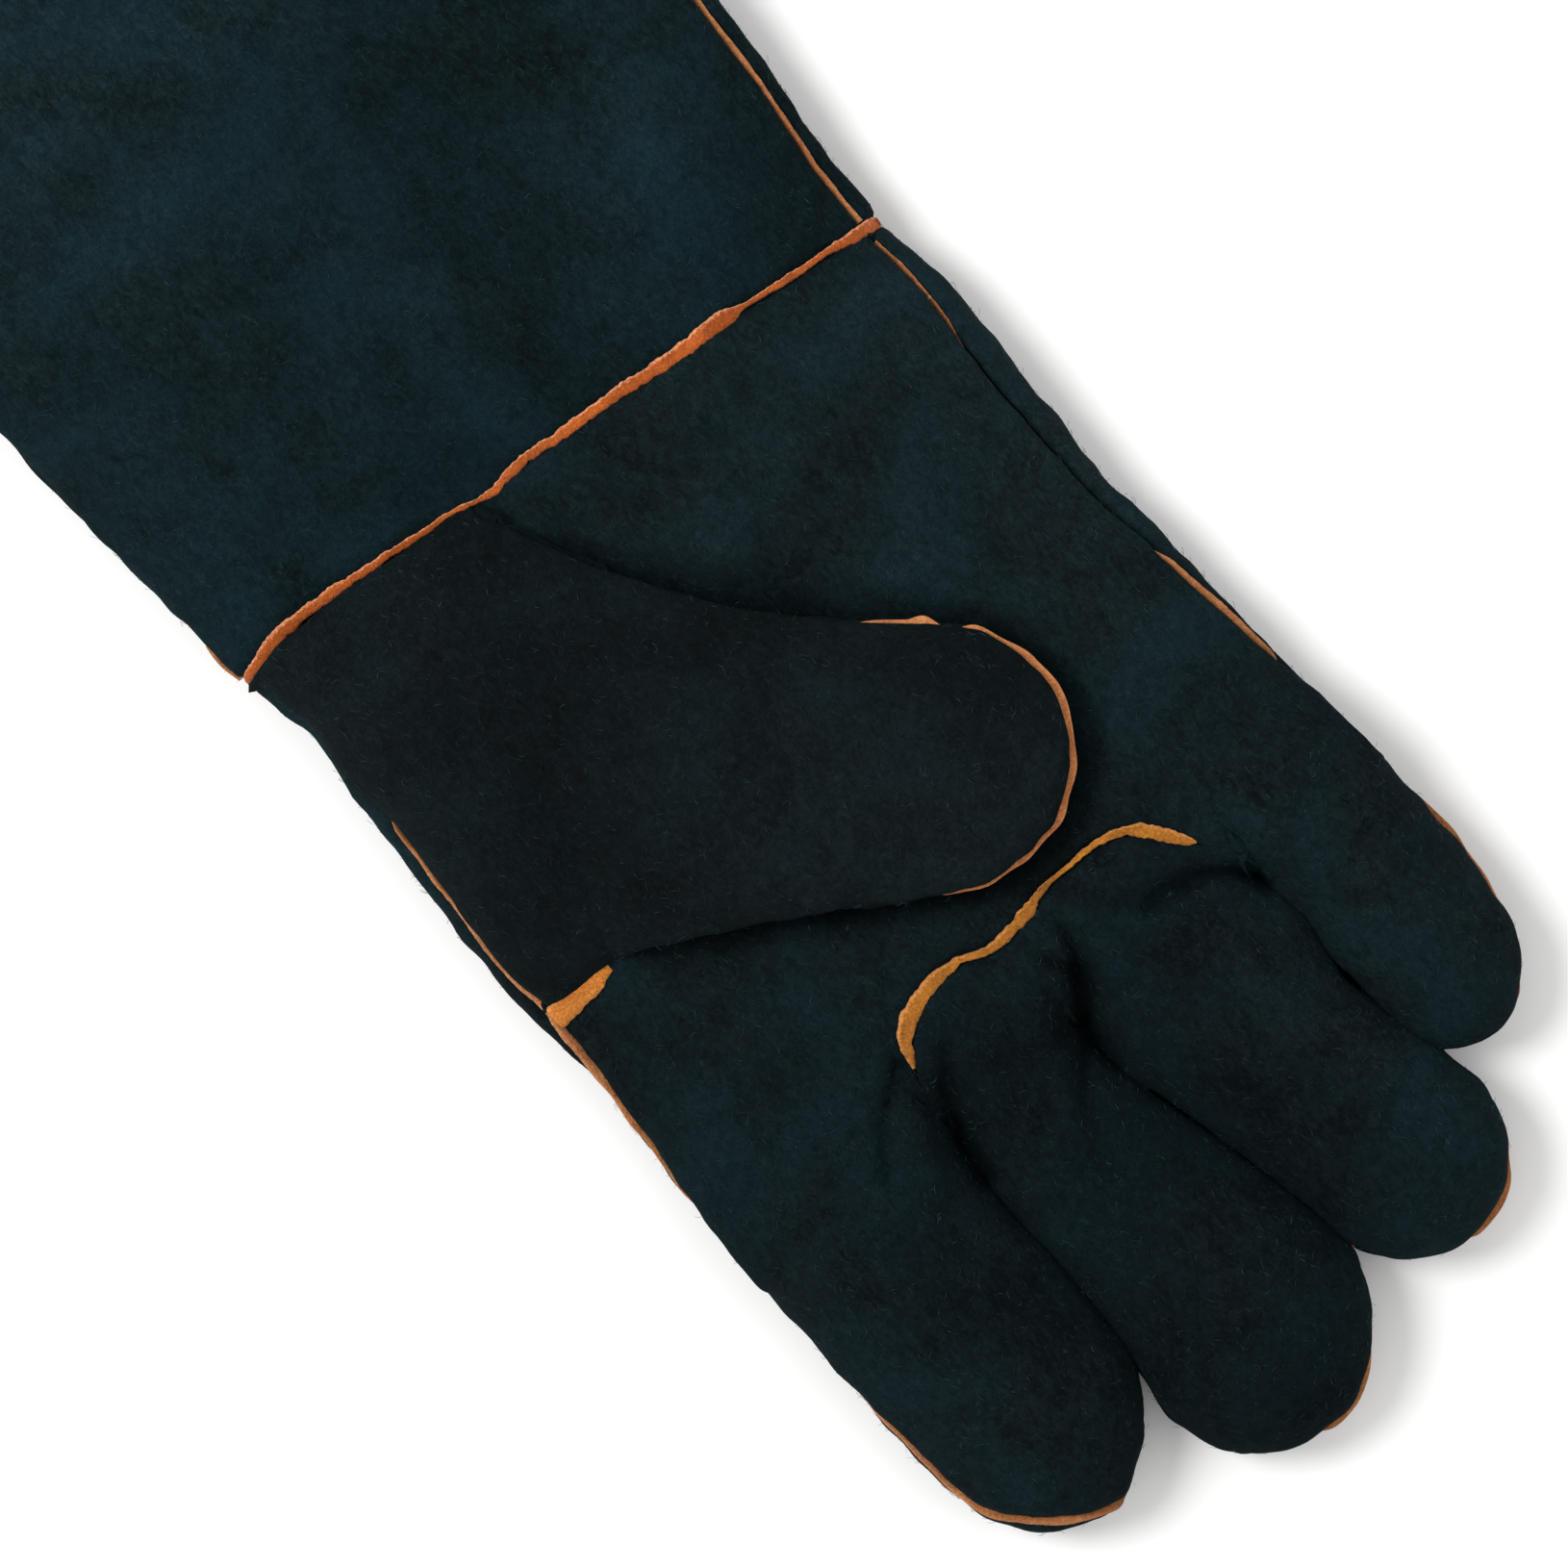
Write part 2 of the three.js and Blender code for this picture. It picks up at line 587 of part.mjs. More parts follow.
// Where the back wraps over an edge of the glove, from the outline up to the seam.
const wrapColumns = 2;
function wrapRow(y, side, marks) {
  const line = outlineAt(y);
  const seam = sideSeam(y, side);
  const wrap = side < 0 ? line.lowWrap : line.highWrap;
  const row = range(0, wrapColumns).map((i) => {
    if (i === wrapColumns) return vertex(seam.p.x, y, seam.p.z, [...marks, 'side'], seam.out);
    const t = 1 - (wrap / line.half) * (i / wrapColumns) ** 2;
    const z = seamZ(y) + (wrap > 0 ? crown(t, palmCrown) * line.depth * (1 - seamHeightShare) : 0);
    return vertex(line.middle + side * t * line.half, y, z, marks, i === 0 ? outward(side) : null);
  });
  return side < 0 ? row : row.reverse();
}

// The back of the hand and of all four fingers, in one piece.
function handBack() {
  const panel = makePanel();
  const grid = range(0, handRows).map((row) => handRow(row, fullWidth, false));
  panel.grid(grid, false);
  fingers.forEach((_, f) => panel.grid(fingerGrid(f, false), false));
  for (const side of [-1, 1]) {
    const edge = side < 0 ? 0 : lastColumn;
    panel.grid(grid.map((row, j) => wrapRow(row[edge].p.y, side, j === 0 ? ['cross'] : [])), true);
  }
  return panel;
}
addLeather('hand_back', handBack());

// The palm with the fronts of the index and little fingers, cut out at the heel of the thumb. Its rows
// are drawn in so that one column ends on the thumb's first rib.
const rootColumn = lastColumn - 3;
const thumbBase = (share) => wristEnd(firstRib).lerp(indexEnd(firstRib), share);
function palmRow(row, columnRange, marksAt = () => []) {
  const list = handRow(row, fullWidth, true, marksAt);
  const low = list[0].p.x;
  const high = list[lastColumn].p.x;
  const from = list[rootColumn].p.x;
  const settled = smooth((row - heelRows) / (palmRows - heelRows));
  const to = mix(thumbBase(heelShares[row] ?? 1).x, from, settled);
  list.slice(1, lastColumn).forEach((one, k) => {
    const i = k + 1;
    const x = one.p.x;
    if (i <= rootColumn) one.p.x = mix(low, to, (x - low) / (from - low));
    else one.p.x = mix(to, high, (x - from) / (high - from));
    if (row < heelRows) one.p.y = mix(wristY(one.p.x), rootY, heelShares[row]);
    one.p.z = palmTop(one.p.x, one.p.y, columns[i].across);
  });
  if (row === heelRows) list.slice(rootColumn).forEach((one) => one.marks.push('root'));
  return list.slice(columnRange[0], columnRange[1] + 1);
}

const [middleStart, middleEnd] = [fingerStart[1], fingerStart[3]];
const onFingerSeam = (row) => (i) => {
  const across = row === palmRows && i >= middleStart && i <= middleEnd;
  return across || (row >= palmRows && (i === middleStart || i === middleEnd)) ? ['cross'] : [];
};

function palmPanel() {
  const panel = makePanel();
  panel.grid(range(0, heelRows).map((row) => palmRow(row, [0, rootColumn])), true);
  panel.grid(range(heelRows, palmRows).map((row) => palmRow(row, fullWidth, onFingerSeam(row))), true);
  for (const part of [[0, middleStart], [middleEnd, lastColumn]]) {
    const rows = range(palmRows, handRows);
    panel.grid(rows.map((row) => handRow(row, part, true, onFingerSeam(row))), true);
  }
  for (const f of [0, 3]) panel.grid(fingerGrid(f, true, onFingerSeam(handRows)), true);
  return panel;
}
addLeather('palm_panel', palmPanel());

// The fronts of the middle and ring fingers, sewn to the palm across their base.
function middleFingersFront() {
  const panel = makePanel();
  const rows = range(palmRows, handRows);
  panel.grid(rows.map((row) => handRow(row, [middleStart, middleEnd], true, onFingerSeam(row))), true);
  for (const f of [1, 2]) panel.grid(fingerGrid(f, true, onFingerSeam(handRows)), true);
  return panel;
}
addLeather('middle_fingers_front', middleFingersFront());

// The cuff, from hem to wrist seam.
const cuffRows = 8;
const cuffColumns = 14;
function cuffRow(row, upper) {
  const s = row / cuffRows;
  return acrossSteps(cuffColumns).map((across, i) => {
    const marks = row === cuffRows ? ['cross'] : [];
    const edge = i === 0 || i === cuffColumns;
    let x = 0;
    let y = 0;
    for (const _ of range(1, 4)) {
      y = mix(-cuffLength, wristY(x), s);
      const low = upper ? sideSeam(y, -1).p.x : outlineAt(y).low;
      x = mix(low, outlineAt(y).high, (across + 1) / 2);
    }
    const line = outlineAt(y);
    const t = (x - line.middle) / line.half;
    if (edge) {
      const side = Math.sign(across);
      const seam = sideSeam(y, side);
      if (upper) return vertex(seam.p.x, y, seam.p.z, [...marks, 'side'], seam.out);
      return vertex(x, y, seamZ(y), side < 0 ? marks : [...marks, 'side'], outward(side));
    }
    const rise = crown(t, palmCrown) * line.depth * (1 - seamHeightShare);
    return vertex(x, y, upper ? seamZ(y) + rise : underside(t, seamZ(y)), marks);
  });
}

function cuffPanel(upper) {
  const panel = makePanel();
  const grid = range(0, cuffRows).map((row) => cuffRow(row, upper));
  panel.grid(grid, upper);
  if (!upper) {
    panel.grid(grid.map((row, j) => wrapRow(row[0].p.y, -1, j === cuffRows ? ['cross'] : [])), true);
  }
  return panel;
}
addLeather('cuff_palm_side', cuffPanel(true));
addLeather('cuff_back', cuffPanel(false));

// The thumb. Its outer half starts at the side seam, covers the heel of the hand and runs out to the
// tip; its inner half lies on the palm. Ribs are numbered from the first free one, and the heel's are
// negative.
const thumbColumns = heelRows;
const heelRibs = 4;
const thumbTipRows = 4;
const lastFree = thumbRibs.length - 1;
const naturalTop = (x, y) => palmTop(x, y, 0, false);

// A place on the heel: inwards runs from the first rib (0) to the side seam (1), and k counts the
// columns from the wrist seam to the root seam.
function heelPlace(inwards, k) {
  const share = heelShares[k];
  const [a, d] = [wristEnd(firstRib), indexEnd(firstRib)];
  const seamPlace = (row) => handPlace(columns[lastColumn], row, true);
  const [b, side, c] = [0, k, heelRows].map(seamPlace).map(({ x, y }) => flat(x, y));
  const along = a.clone().lerp(d, share);
  const wristX = mix(a.x, b.x, inwards);
  const wrist = flat(wristX, wristY(wristX));
  const root = d.clone().lerp(c, inwards);
  const corners = a.clone().lerp(d, share).lerp(b.clone().lerp(c, share), inwards);
  return along.lerp(side, inwards).add(wrist.lerp(root, share)).sub(corners);
}

function heelVertex(inwards, k) {
  const { x, y } = heelPlace(inwards, k);
  const marks = [];
  if (k === 0) marks.push('cross');
  if (k === thumbColumns) marks.push('root');
  if (inwards === 1) {
    const seam = sideSeam(y, 1);
    return vertex(seam.p.x, y, seam.p.z, [...marks, 'side'], seam.out);
  }
  const across = acrossSteps(thumbColumns)[k];
  const rise = heelShare * thumbDepth * crown(across, thumbCrown) * crown(inwards, 2.6);
  return vertex(x, y, naturalTop(x, y) + rise, marks);
}

// A place on the free thumb at a rib or, past the last rib, in its round tip.
function freeVertex(rib, across, outer) {
  const row = thumbRibs[Math.min(rib, lastFree)];
  const [from, to] = [wristEnd(row), indexEnd(row)];
  const up = Math.max(rib - lastFree, 0) / thumbTipRows;
  const u = across * Math.sqrt(1 - (up * up) / 2);
  const v = up * Math.sqrt(1 - (across * across) / 2);
  const half = from.distanceTo(to) / 2;
  const ribWay = to.clone().sub(from).normalize();
  const tipWay = flat(-ribWay.y, ribWay.x);
  const tipLength = half * thumbTipShare;
  const place = ribMiddle(row).addScaledVector(ribWay, u * half).addScaledVector(tipWay, v * tipLength);
  const r = Math.min(Math.hypot(u, v), 1);
  const ends = [from, to].map((end) => naturalTop(end.x, end.y) + row.lift * thumbDepth);
  const seam = mix(...ends, (u + 1) / 2);
  const edge = Math.abs(across) === 1 || up === 1;
  if (edge) {
    const square = up === 0 ? railWay(rib, across) : null;
    const way = square ?? ribWay.multiplyScalar(u / half).addScaledVector(tipWay, v / tipLength);
    return vertex(place.x, place.y, seam, ['side'], point(way.x, way.y, 0).normalize());
  }
  const settled = smooth(rib / 2);
  const floor = mix(naturalTop(place.x, place.y), seam, settled);
  const bulge = mix(heelShare, row.rise, smooth(rib)) * thumbDepth;
  if (outer) return vertex(place.x, place.y, floor + bulge * crown(r, thumbCrown));
  const hanging = seam - thumbDepth * crown(r, thumbCrown);
  const lying = palmTop(place.x, place.y) + thumbClearance;
  return vertex(place.x, place.y, Math.max(hanging, lying));
}

// Square to the thumb's edge in plan, on the wrist's side (-1) or the index finger's (1).
function railWay(rib, side) {
  const end = side < 0 ? wristEnd : indexEnd;
  const before = end(thumbRibs[Math.max(rib - 1, 0)]);
  const after = end(thumbRibs[Math.min(rib + 1, lastFree)]);
  const run = after.sub(before);
  return flat(side * -run.y, side * run.x).negate().normalize();
}

const freeRow = (rib, outer) => acrossSteps(thumbColumns).map((a) => freeVertex(rib, a, outer));

function thumbOuter() {
  const panel = makePanel();
  const heelRow = (rib) => range(0, thumbColumns).map((k) => heelVertex(rib / heelRibs, k));
  const heel = range(1, heelRibs).map(heelRow);
  const free = range(0, lastFree + thumbTipRows).map((rib) => freeRow(rib, true));
  for (const [k, mark] of [[0, 'cross'], [thumbColumns, 'root']]) free[0][k].marks.push(mark);
  panel.grid([...heel.reverse(), ...free], true);
  return panel;
}
addLeather('thumb_outer', thumbOuter());

function thumbUnder() {
  const panel = makePanel();
  panel.grid(range(0, lastFree + thumbTipRows).map((rib) => freeRow(rib, false)), false);
  return panel;
}
addLeather('thumb_under', thumbUnder());

// Welts. Along the side seams each strip stands between the two panels' edges.
const sideStop = ({ p, out }, show) => ({ p, out, width: stripThickness, show });
const joinRoom = crossInset + 2 * seamGap; // where a welt stops short of one that crosses it

// Down the side of the hand from the finger's base to the wrist, or the cuff's side from hem to wrist.
function handSide(side) {
  return range(0, handRows - 1).map((row) => {
    const { y } = handPlace(columns[side < 0 ? 0 : lastColumn], row, true);
    return sideStop(sideSeam(y, side), stripShow);
  });
}

function cuffSide(side) {
  return range(0, cuffRows).map((row) => {
    const wrist = wristY(side * halfPalm);
    return sideStop(sideSeam(mix(-cuffLength, wrist, row / cuffRows), side), stripShow);
  });
}

// Round a finger from the crotch on its little finger's side to the one on its thumb's. The welt stands
// out only where no other finger lies beside it.
function fingerRound(f) {
  const count = fingers[f].columns;
  const up = (across, open) => range(1, fingerRows + tipRows).map((row) => {
    const show = open ? 1 : smooth((row - fingerRows - 0.5) / 2);
    return sideStop(fingerVertex(f, row, across, true), mix(-seamGap, stripShow, show));
  });
  const low = up(-1, f === 0);
  const high = up(1, f === fingers.length - 1);
  const tip = acrossSteps(count).slice(1, -1)
    .map((across) => sideStop(fingerVertex(f, fingerRows + tipRows, across, true), stripShow));
  return [...low, ...tip, ...high.reverse()];
}

const crotchRoom = 3;
addWelt('little_welt', trim([...handSide(-1), ...fingerRound(0)], joinRoom, crotchRoom));
addWelt('ring_welt', trim(fingerRound(1), crotchRoom, crotchRoom));
addWelt('middle_welt', trim(fingerRound(2), crotchRoom, crotchRoom));
addWelt('index_welt', trim([...fingerRound(3), ...handSide(1).reverse()], crotchRoom, joinRoom));
addWelt('cuff_welt_thumb_side', trim(cuffSide(1), 0, joinRoom));
addWelt('cuff_welt_little_side', trim(cuffSide(-1), 0, joinRoom));

// Across the wrist on the palm side, over both side seams.
const wristStops = 18;
function wristRound(upper) {
  return acrossSteps(wristStops).map((across, i) => {
    let x = 0;
    for (const _ of range(1, 4)) {
      const line = outlineAt(wristY(x));
      x = line.middle + line.half * across;
    }
    const y = wristY(x);
    const line = outlineAt(y);
    const width = stripWidth * read(wristWeltWidths, 'at', 'width', (across + 1) / 2);
    const end = i === 0 || i === wristStops;
    if (end) return { p: point(x, y, seamZ(y)), out: outward(Math.sign(across)), width, show: stripShow };
    if (upper) return { p: point(x, y, naturalTop(x, y)), out: palmNormal(x, y), width, show: stripShow };
    const z = underside(across, seamZ(y));
    const out = point(across ** 5 * 3, 0, -1).normalize();
    return { p: point(x, y, z), out, width, show: mix(-seamGap, stripShow, z / seamZ(y)) };
  });
}
addWelt('wrist_welt_palm', trim(wristRound(true), 4 * seamGap, 4 * seamGap));
addWelt('wrist_welt_back', trim(wristRound(false), 4 * seamGap, 4 * seamGap));

// Across the base of the two middle fingers, and up between them and their neighbours.
function fingerBase() {
  const seam = (row, i) => {
    const one = handRow(row, [i, i], true)[0];
    const across = columns[i].across;
    return { p: one.p, out: palmNormal(one.p.x, one.p.y, across) };
  };
  const rise = range(palmRows, handRows - 1);
  const stops = [
    ...rise.slice(1).reverse().map((row) => seam(row, middleStart)),
    ...range(middleStart, middleEnd).map((i) => seam(palmRows, i)),
    ...rise.slice(1).map((row) => seam(row, middleEnd)),
  ];
  return stops.map((stop, i) => {
    const width = stripWidth * read(fingerWeltWidths, 'at', 'width', i / (stops.length - 1));
    return { ...stop, width, show: stripShow };
  });
}
addWelt('finger_base_welt', trim(fingerBase(), 1.5 * crotchRoom, 1.5 * crotchRoom));

// Round the free thumb, and the short wide seam at its root.
function thumbRound() {
  const rail = (across) => range(0, lastFree + thumbTipRows).map((rib) => freeVertex(rib, across, true));
  const tip = acrossSteps(thumbColumns).slice(1, -1)
    .map((across) => freeVertex(lastFree + thumbTipRows, across, true));
  return [...rail(-1), ...tip, ...rail(1).reverse()].map((one) => sideStop(one, stripShow));
}
addWelt('thumb_welt', trim(thumbRound(), 2 * joinRoom, joinRoom));

function thumbRoot() {
  return range(0, heelRibs).map((k) => {
    const { x, y } = heelPlace(k / heelRibs, thumbColumns);
    const p = point(x, y, naturalTop(x, y));
    return { p, out: palmNormal(x, y), width: rootWeltWidth, show: stripShow };
  });
}
addWelt('thumb_root_welt', trim(thumbRoot(), joinRoom, joinRoom));

const box = new THREE.Box3().setFromObject(glove);
const centre = box.getCenter(point(0, 0, 0));
glove.position.set(-centre.x, -centre.y, -box.min.z);

export default glove;
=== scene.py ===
import math

import bmesh
import bpy
import numpy as np
from mathutils import Matrix, Vector, noise
from mathutils.kdtree import KDTree


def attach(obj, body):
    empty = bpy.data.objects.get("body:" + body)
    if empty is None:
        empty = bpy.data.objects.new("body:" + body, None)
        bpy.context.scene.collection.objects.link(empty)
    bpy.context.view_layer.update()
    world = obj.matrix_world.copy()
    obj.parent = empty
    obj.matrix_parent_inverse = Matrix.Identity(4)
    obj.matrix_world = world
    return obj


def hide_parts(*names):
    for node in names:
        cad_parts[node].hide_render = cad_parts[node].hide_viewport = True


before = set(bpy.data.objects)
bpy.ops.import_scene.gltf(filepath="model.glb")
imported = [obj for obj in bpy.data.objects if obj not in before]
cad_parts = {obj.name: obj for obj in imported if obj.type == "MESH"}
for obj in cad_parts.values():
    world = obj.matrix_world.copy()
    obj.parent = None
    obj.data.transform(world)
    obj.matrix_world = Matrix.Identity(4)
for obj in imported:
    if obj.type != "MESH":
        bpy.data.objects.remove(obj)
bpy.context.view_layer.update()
print("gauntlet: packed solids loaded")

# The glove lies on its back, palm up. Lengths below are millimetres: x to the thumb's side, y to the
# fingertips, z up, counted from the middle of the wrist seam. toMetres puts them over the solids.
glove = {
    "handLength": 225.0,
    "halfPalm": 74.0,
    "cuffLength": 175.0,
    "hemWidth": 163.0,
    "hemThumbShare": 0.487,
    "palmDepth": 27.0,
    "fingerDepth": 25.0,
    "hemDepth": 36.0,
    "thumbDepth": 21.0,
    "seamShare": 0.42,  # height of the side seams over the table, as a share of the depth
    "centre": (1.6195, -25.1218),
    "detail": 8,  # fine rows and columns for each of the solids' own
}
detail = glove["detail"]


def toMetres(points):
    moved = np.array(points, float)
    moved[..., 0] += glove["centre"][0]
    moved[..., 1] += glove["centre"][1]
    return moved * 0.001


def mix(a, b, share):
    return a + (b - a) * share


def smooth(x):
    s = np.clip(x, 0, 1)
    return s * s * (3 - 2 * s)


def crown(r, power):
    # height of a rounded section at r from its middle (0) to its edge (1)
    return (1 - np.clip(np.abs(r), 0, 1) ** power) ** (1 / power)


def underside(r, seam):
    return np.maximum(0, seam * (1 - 1.05 * crown(r, 4.5)))


def acrossSteps(n):
    # places from -1 to 1, closer together towards the edges
    return np.sin((np.arange(n + 1) / n - 0.5) * np.pi)


tableCurves = {}


def readTable(rows, column, at):
    # a smooth curve through one column of a table whose first column is the key
    found = (id(rows), column)
    if found not in tableCurves or tableCurves[found][0] is not rows:
        keys = np.array([row[0] for row in rows], float)
        values = np.array([row[column] for row in rows], float)
        before = np.maximum(np.arange(len(keys)) - 1, 0)
        after = np.minimum(np.arange(len(keys)) + 1, len(keys) - 1)
        slopes = (values[after] - values[before]) / (keys[after] - keys[before])
        tableCurves[found] = (rows, keys, values, slopes)
    _, keys, values, slopes = tableCurves[found]
    last = len(keys) - 1
    x = np.clip(at, keys[0], keys[-1])
    i = np.clip(np.searchsorted(keys, x, side="left") - 1, 0, last - 1)
    span = keys[i + 1] - keys[i]
    s = (x - keys[i]) / span
    ends = mix(values[i], values[i + 1], s * s * (3 - 2 * s))
    return ends + s * (1 - s) * ((1 - s) * slopes[i] - s * slopes[i + 1]) * span


# Outline of the hand: y, thumb's edge, little finger's edge, how far inside each edge its side seam
# lies on the palm side, and depth as a share of palmDepth.
handOutline = [
    (-6.0, 71.6, 72.15, 0.0, 3.1, 0.94),
    (1.0, 69.7, 71.9, 0.0, 3.0, 0.945),
    (9.0, 68.2, 71.9, 0.0, 3.0, 0.955),
    (20.0, 69.0, 72.8, 0.2, 3.8, 0.97),
    (30.0, 69.6, 72.7, 2.3, 4.5, 0.985),
    (40.0, 70.0, 72.2, 2.7, 4.6, 0.995),
    (53.0, 70.8, 72.5, 2.6, 4.2, 1.0),
    (61.0, 71.0, 72.3, 2.3, 3.7, 1.0),
    (68.0, 71.1, 71.9, 2.8, 3.2, 1.0),
    (73.0, 71.1, 72.3, 3.3, 3.0, 1.0),
    (79.0, 70.8, 72.9, 2.3, 2.6, 1.0),
    (90.0, 70.0, 73.3, 0.5, 1.9, 0.995),
    (100.0, 70.5, 73.8, 0.2, 1.4, 0.985),
    (112.0, 70.9, 74.3, 0.0, 0.3, 0.978),
    (127.0, 71.4, 75.2, 0.0, 0.0, 0.96),
    (139.05, 72.0, 76.0, 0.0, 0.0, 0.95),
]
cuffShape = [(0, 1, 1), (0.35, 0.66, 0.8), (0.7, 0.36, 0.45), (0.9, 0.2, 0.15), (1, 0, 0)]
wristSeam = [(-74, 5.6), (-68.7, 5.3), (-60, 4.0), (-49.8, 3.3), (-44, 2.3), (-38, 1.2), (-24, 0.2),
    (-12, -1.4),
             (0, -2.4), (9, -3.5), (16, -2.8), (24, -4.8), (34.7, -6.1), (48, -7.9), (59, -8.6), (66, -7.8),
             (74, -5.85)]
fingerSeam = [(-45, 133.5), (-41.5, 130.0), (-38.7, 126.5), (-35.9, 121.9), (-30.9, 117.5), (-26.4, 116.1),
              (-19.8, 115.8), (-14.2, 115.9), (-9.8, 116.7), (-5.3, 117.8), (-0.3, 118.0), (3.0, 116.9),
              (6.3, 115.5), (11.9, 115.3), (16.9, 116.6), (21.3, 119.2), (24.3, 123.0), (27.5, 132.5)]
crotchY = 0.618 * glove["handLength"]


def outlineAt(y):
    line = {
        "high": readTable(handOutline, 1, y),
        "low": -readTable(handOutline, 2, y),
        "highWrap": np.maximum(readTable(handOutline, 3, y), 0),
        "lowWrap": np.maximum(readTable(handOutline, 4, y), 0),
        "depth": readTable(handOutline, 5, y) * glove["palmDepth"],
    }
    wrist = min(row[1] for row in wristSeam)
    share = np.clip((y + glove["cuffLength"]) / (glove["cuffLength"] + wrist), 0, 1)
    flare = np.where(y < wrist, readTable(cuffShape, 1, share), 0)
    deep = np.where(y < wrist, readTable(cuffShape, 2, share), 0)
    line["high"] = mix(line["high"], glove["hemWidth"] * glove["hemThumbShare"], flare)
    line["low"] = mix(line["low"], -glove["hemWidth"] * (1 - glove["hemThumbShare"]), flare)
    line["depth"] = mix(line["depth"], glove["hemDepth"], deep)
    line["middle"] = (line["high"] + line["low"]) / 2
    line["half"] = (line["high"] - line["low"]) / 2
    return line


def wristY(x):
    return readTable(wristSeam, 1, x)


def knuckleY(x):
    return readTable(fingerSeam, 1, x)


def fingered(y):
    # 0 at the palm, 1 at the crotches, where it has become four fingers
    return np.clip((y / crotchY - 0.77) / 0.23, 0, 1) ** 1.6


def seamZ(y):
    handY = np.minimum(y, crotchY)
    depth = mix(outlineAt(handY)["depth"], glove["fingerDepth"], fingered(handY))
    return depth * glove["seamShare"]


# Folds that the leather has taken between palm and fingers: points, width, and depth at the path's two
# ends. A negative depth is a ridge.
folds = [
    {"path": [(-45, 142), (-42, 136.5), (-38, 132.8), (-32, 131.2), (-27, 130.5), (-23, 127)],
     "width": 2.0, "depth": (4.6, 2.4)},
    {"path": [(-36, 132.5), (-31, 131), (-26, 130.5)], "width": 2.6, "depth": (3.6, 3.4)},
    {"path": [(-3, 149), (-3, 140.5), (-6.4, 136), (-9.2, 131)], "width": 2.5, "depth": (3.2, 6.6)},
    {"path": [(-9.2, 131), (-11.4, 126), (-12.2, 120.5)], "width": 1.8, "depth": (4.6, 1.4)},
    {"path": [(-8.6, 130.5), (-6, 126), (-4.4, 121)], "width": 1.6, "depth": (3.8, 1.0)},
    {"path": [(-2.8, 141.5), (2.4, 146), (7, 153), (9.6, 161)], "width": 1.9, "depth": (4.2, 1.4)},
    {"path": [(28, 149), (26.4, 140.5), (24.6, 135.8), (22, 131), (18.4, 126.3)], "width": 2.4,
     "depth": (5.0, 2.8)},
    {"path": [(25.6, 137.5), (22.6, 131.5)], "width": 2.6, "depth": (3.6, 3.6)},
    {"path": [(41.5, 136.5), (37, 130), (31, 125.6), (26.6, 122.6)], "width": 1.8, "depth": (2.2, 3.2)},
    {"path": [(14, 123), (12, 133), (12, 146)], "width": 4.0, "depth": (1.2, 1.7)},
    {"path": [(-19, 123), (-22, 138), (-25, 150)], "width": 4.5, "depth": (1.0, 1.8)},
    {"path": [(48, 112), (52, 126), (51, 140)], "width": 6.0, "depth": (0.8, 1.5)},
    {"path": [(-60, 118), (-60, 134), (-61, 146)], "width": 5.0, "depth": (0.6, 1.2)},
    {"path": [(-16, 124), (-17, 136)], "width": 2.8, "depth": (-1.4, -1.6)},
    {"path": [(3, 124), (3, 137)], "width": 3.0, "depth": (-1.4, -1.4)},
    {"path": [(31, 131), (34, 142)], "width": 2.8, "depth": (-1.4, -1.2)},
]


def foldDepth(x, y):
    sunk = np.zeros(np.broadcast(x, y).shape)
    raised = np.zeros(sunk.shape)
    for fold in folds:
        path = np.array(fold["path"], float)
        near = np.full(sunk.shape, 1e9)
        along = np.zeros(sunk.shape)
        for k, (start, end) in enumerate(zip(path[:-1], path[1:])):
            run = end - start
            share = np.clip(((x - start[0]) * run[0] + (y - start[1]) * run[1]) / (run @ run), 0, 1)
            off = np.hypot(x - start[0] - run[0] * share, y - start[1] - run[1] * share)
            along = np.where(off < near, (k + share) / (len(path) - 1), along)
            near = np.minimum(near, off)
        depth = mix(fold["depth"][0], fold["depth"][1], along) * np.exp(-((near / fold["width"]) ** 2))
        sunk = np.maximum(sunk, depth)
        raised = np.minimum(raised, depth)
    return sunk + raised


# The free thumb's ribs: rib number, x and y of the end on the wrist's side, x and y of the end on the
# index finger's side, the seam's height over the palm and the top's rise over the seam.
thumbRibs = [
    (0, 18.57, -3.6, 52.98, 74.25, 3.57, 11.76),
    (1, 9.1, 17.78, 43.59, 79.2, 5.04, 11.34),
    (2, -4.22, 40.05, 27.97, 88.43, 5.88, 10.5),
    (3, -15.32, 53.33, 15.98, 95.63, 5.88, 10.08),
    (4, -26.42, 63.9, 3.48, 103.05, 5.46, 9.24),
]
lastRib = len(thumbRibs) - 1
thumbTipShare = 1.16
ribEnds = np.array([row[1:5] for row in thumbRibs], float)
ribMiddles = (ribEnds[:, 0:2] + ribEnds[:, 2:4]) / 2
thumbRun = ribMiddles[-1] - ribMiddles[0]
thumbLength = np.hypot(*thumbRun)
tipHalf = np.hypot(*(ribEnds[-1, 2:4] - ribEnds[-1, 0:2])) / 2


def bedDepth(x, y):
    # how far the thumb lying on it presses the palm down
    run = thumbRun / thumbLength
    dx, dy = x - ribMiddles[0][0], y - ribMiddles[0][1]
    along = (dx * run[0] + dy * run[1]) / thumbLength
    half = tipHalf * mix(1.5, 1.2, np.clip(along, 0, 1))
    side = 1 - np.clip(np.abs(dx * run[1] - dy * run[0]) / half, 0, 1) ** 2
    ends = smooth((1.6 - along) / 0.5) * smooth(y / (0.15 * glove["handLength"]))
    return 0.26 * glove["palmDepth"] * side * ends


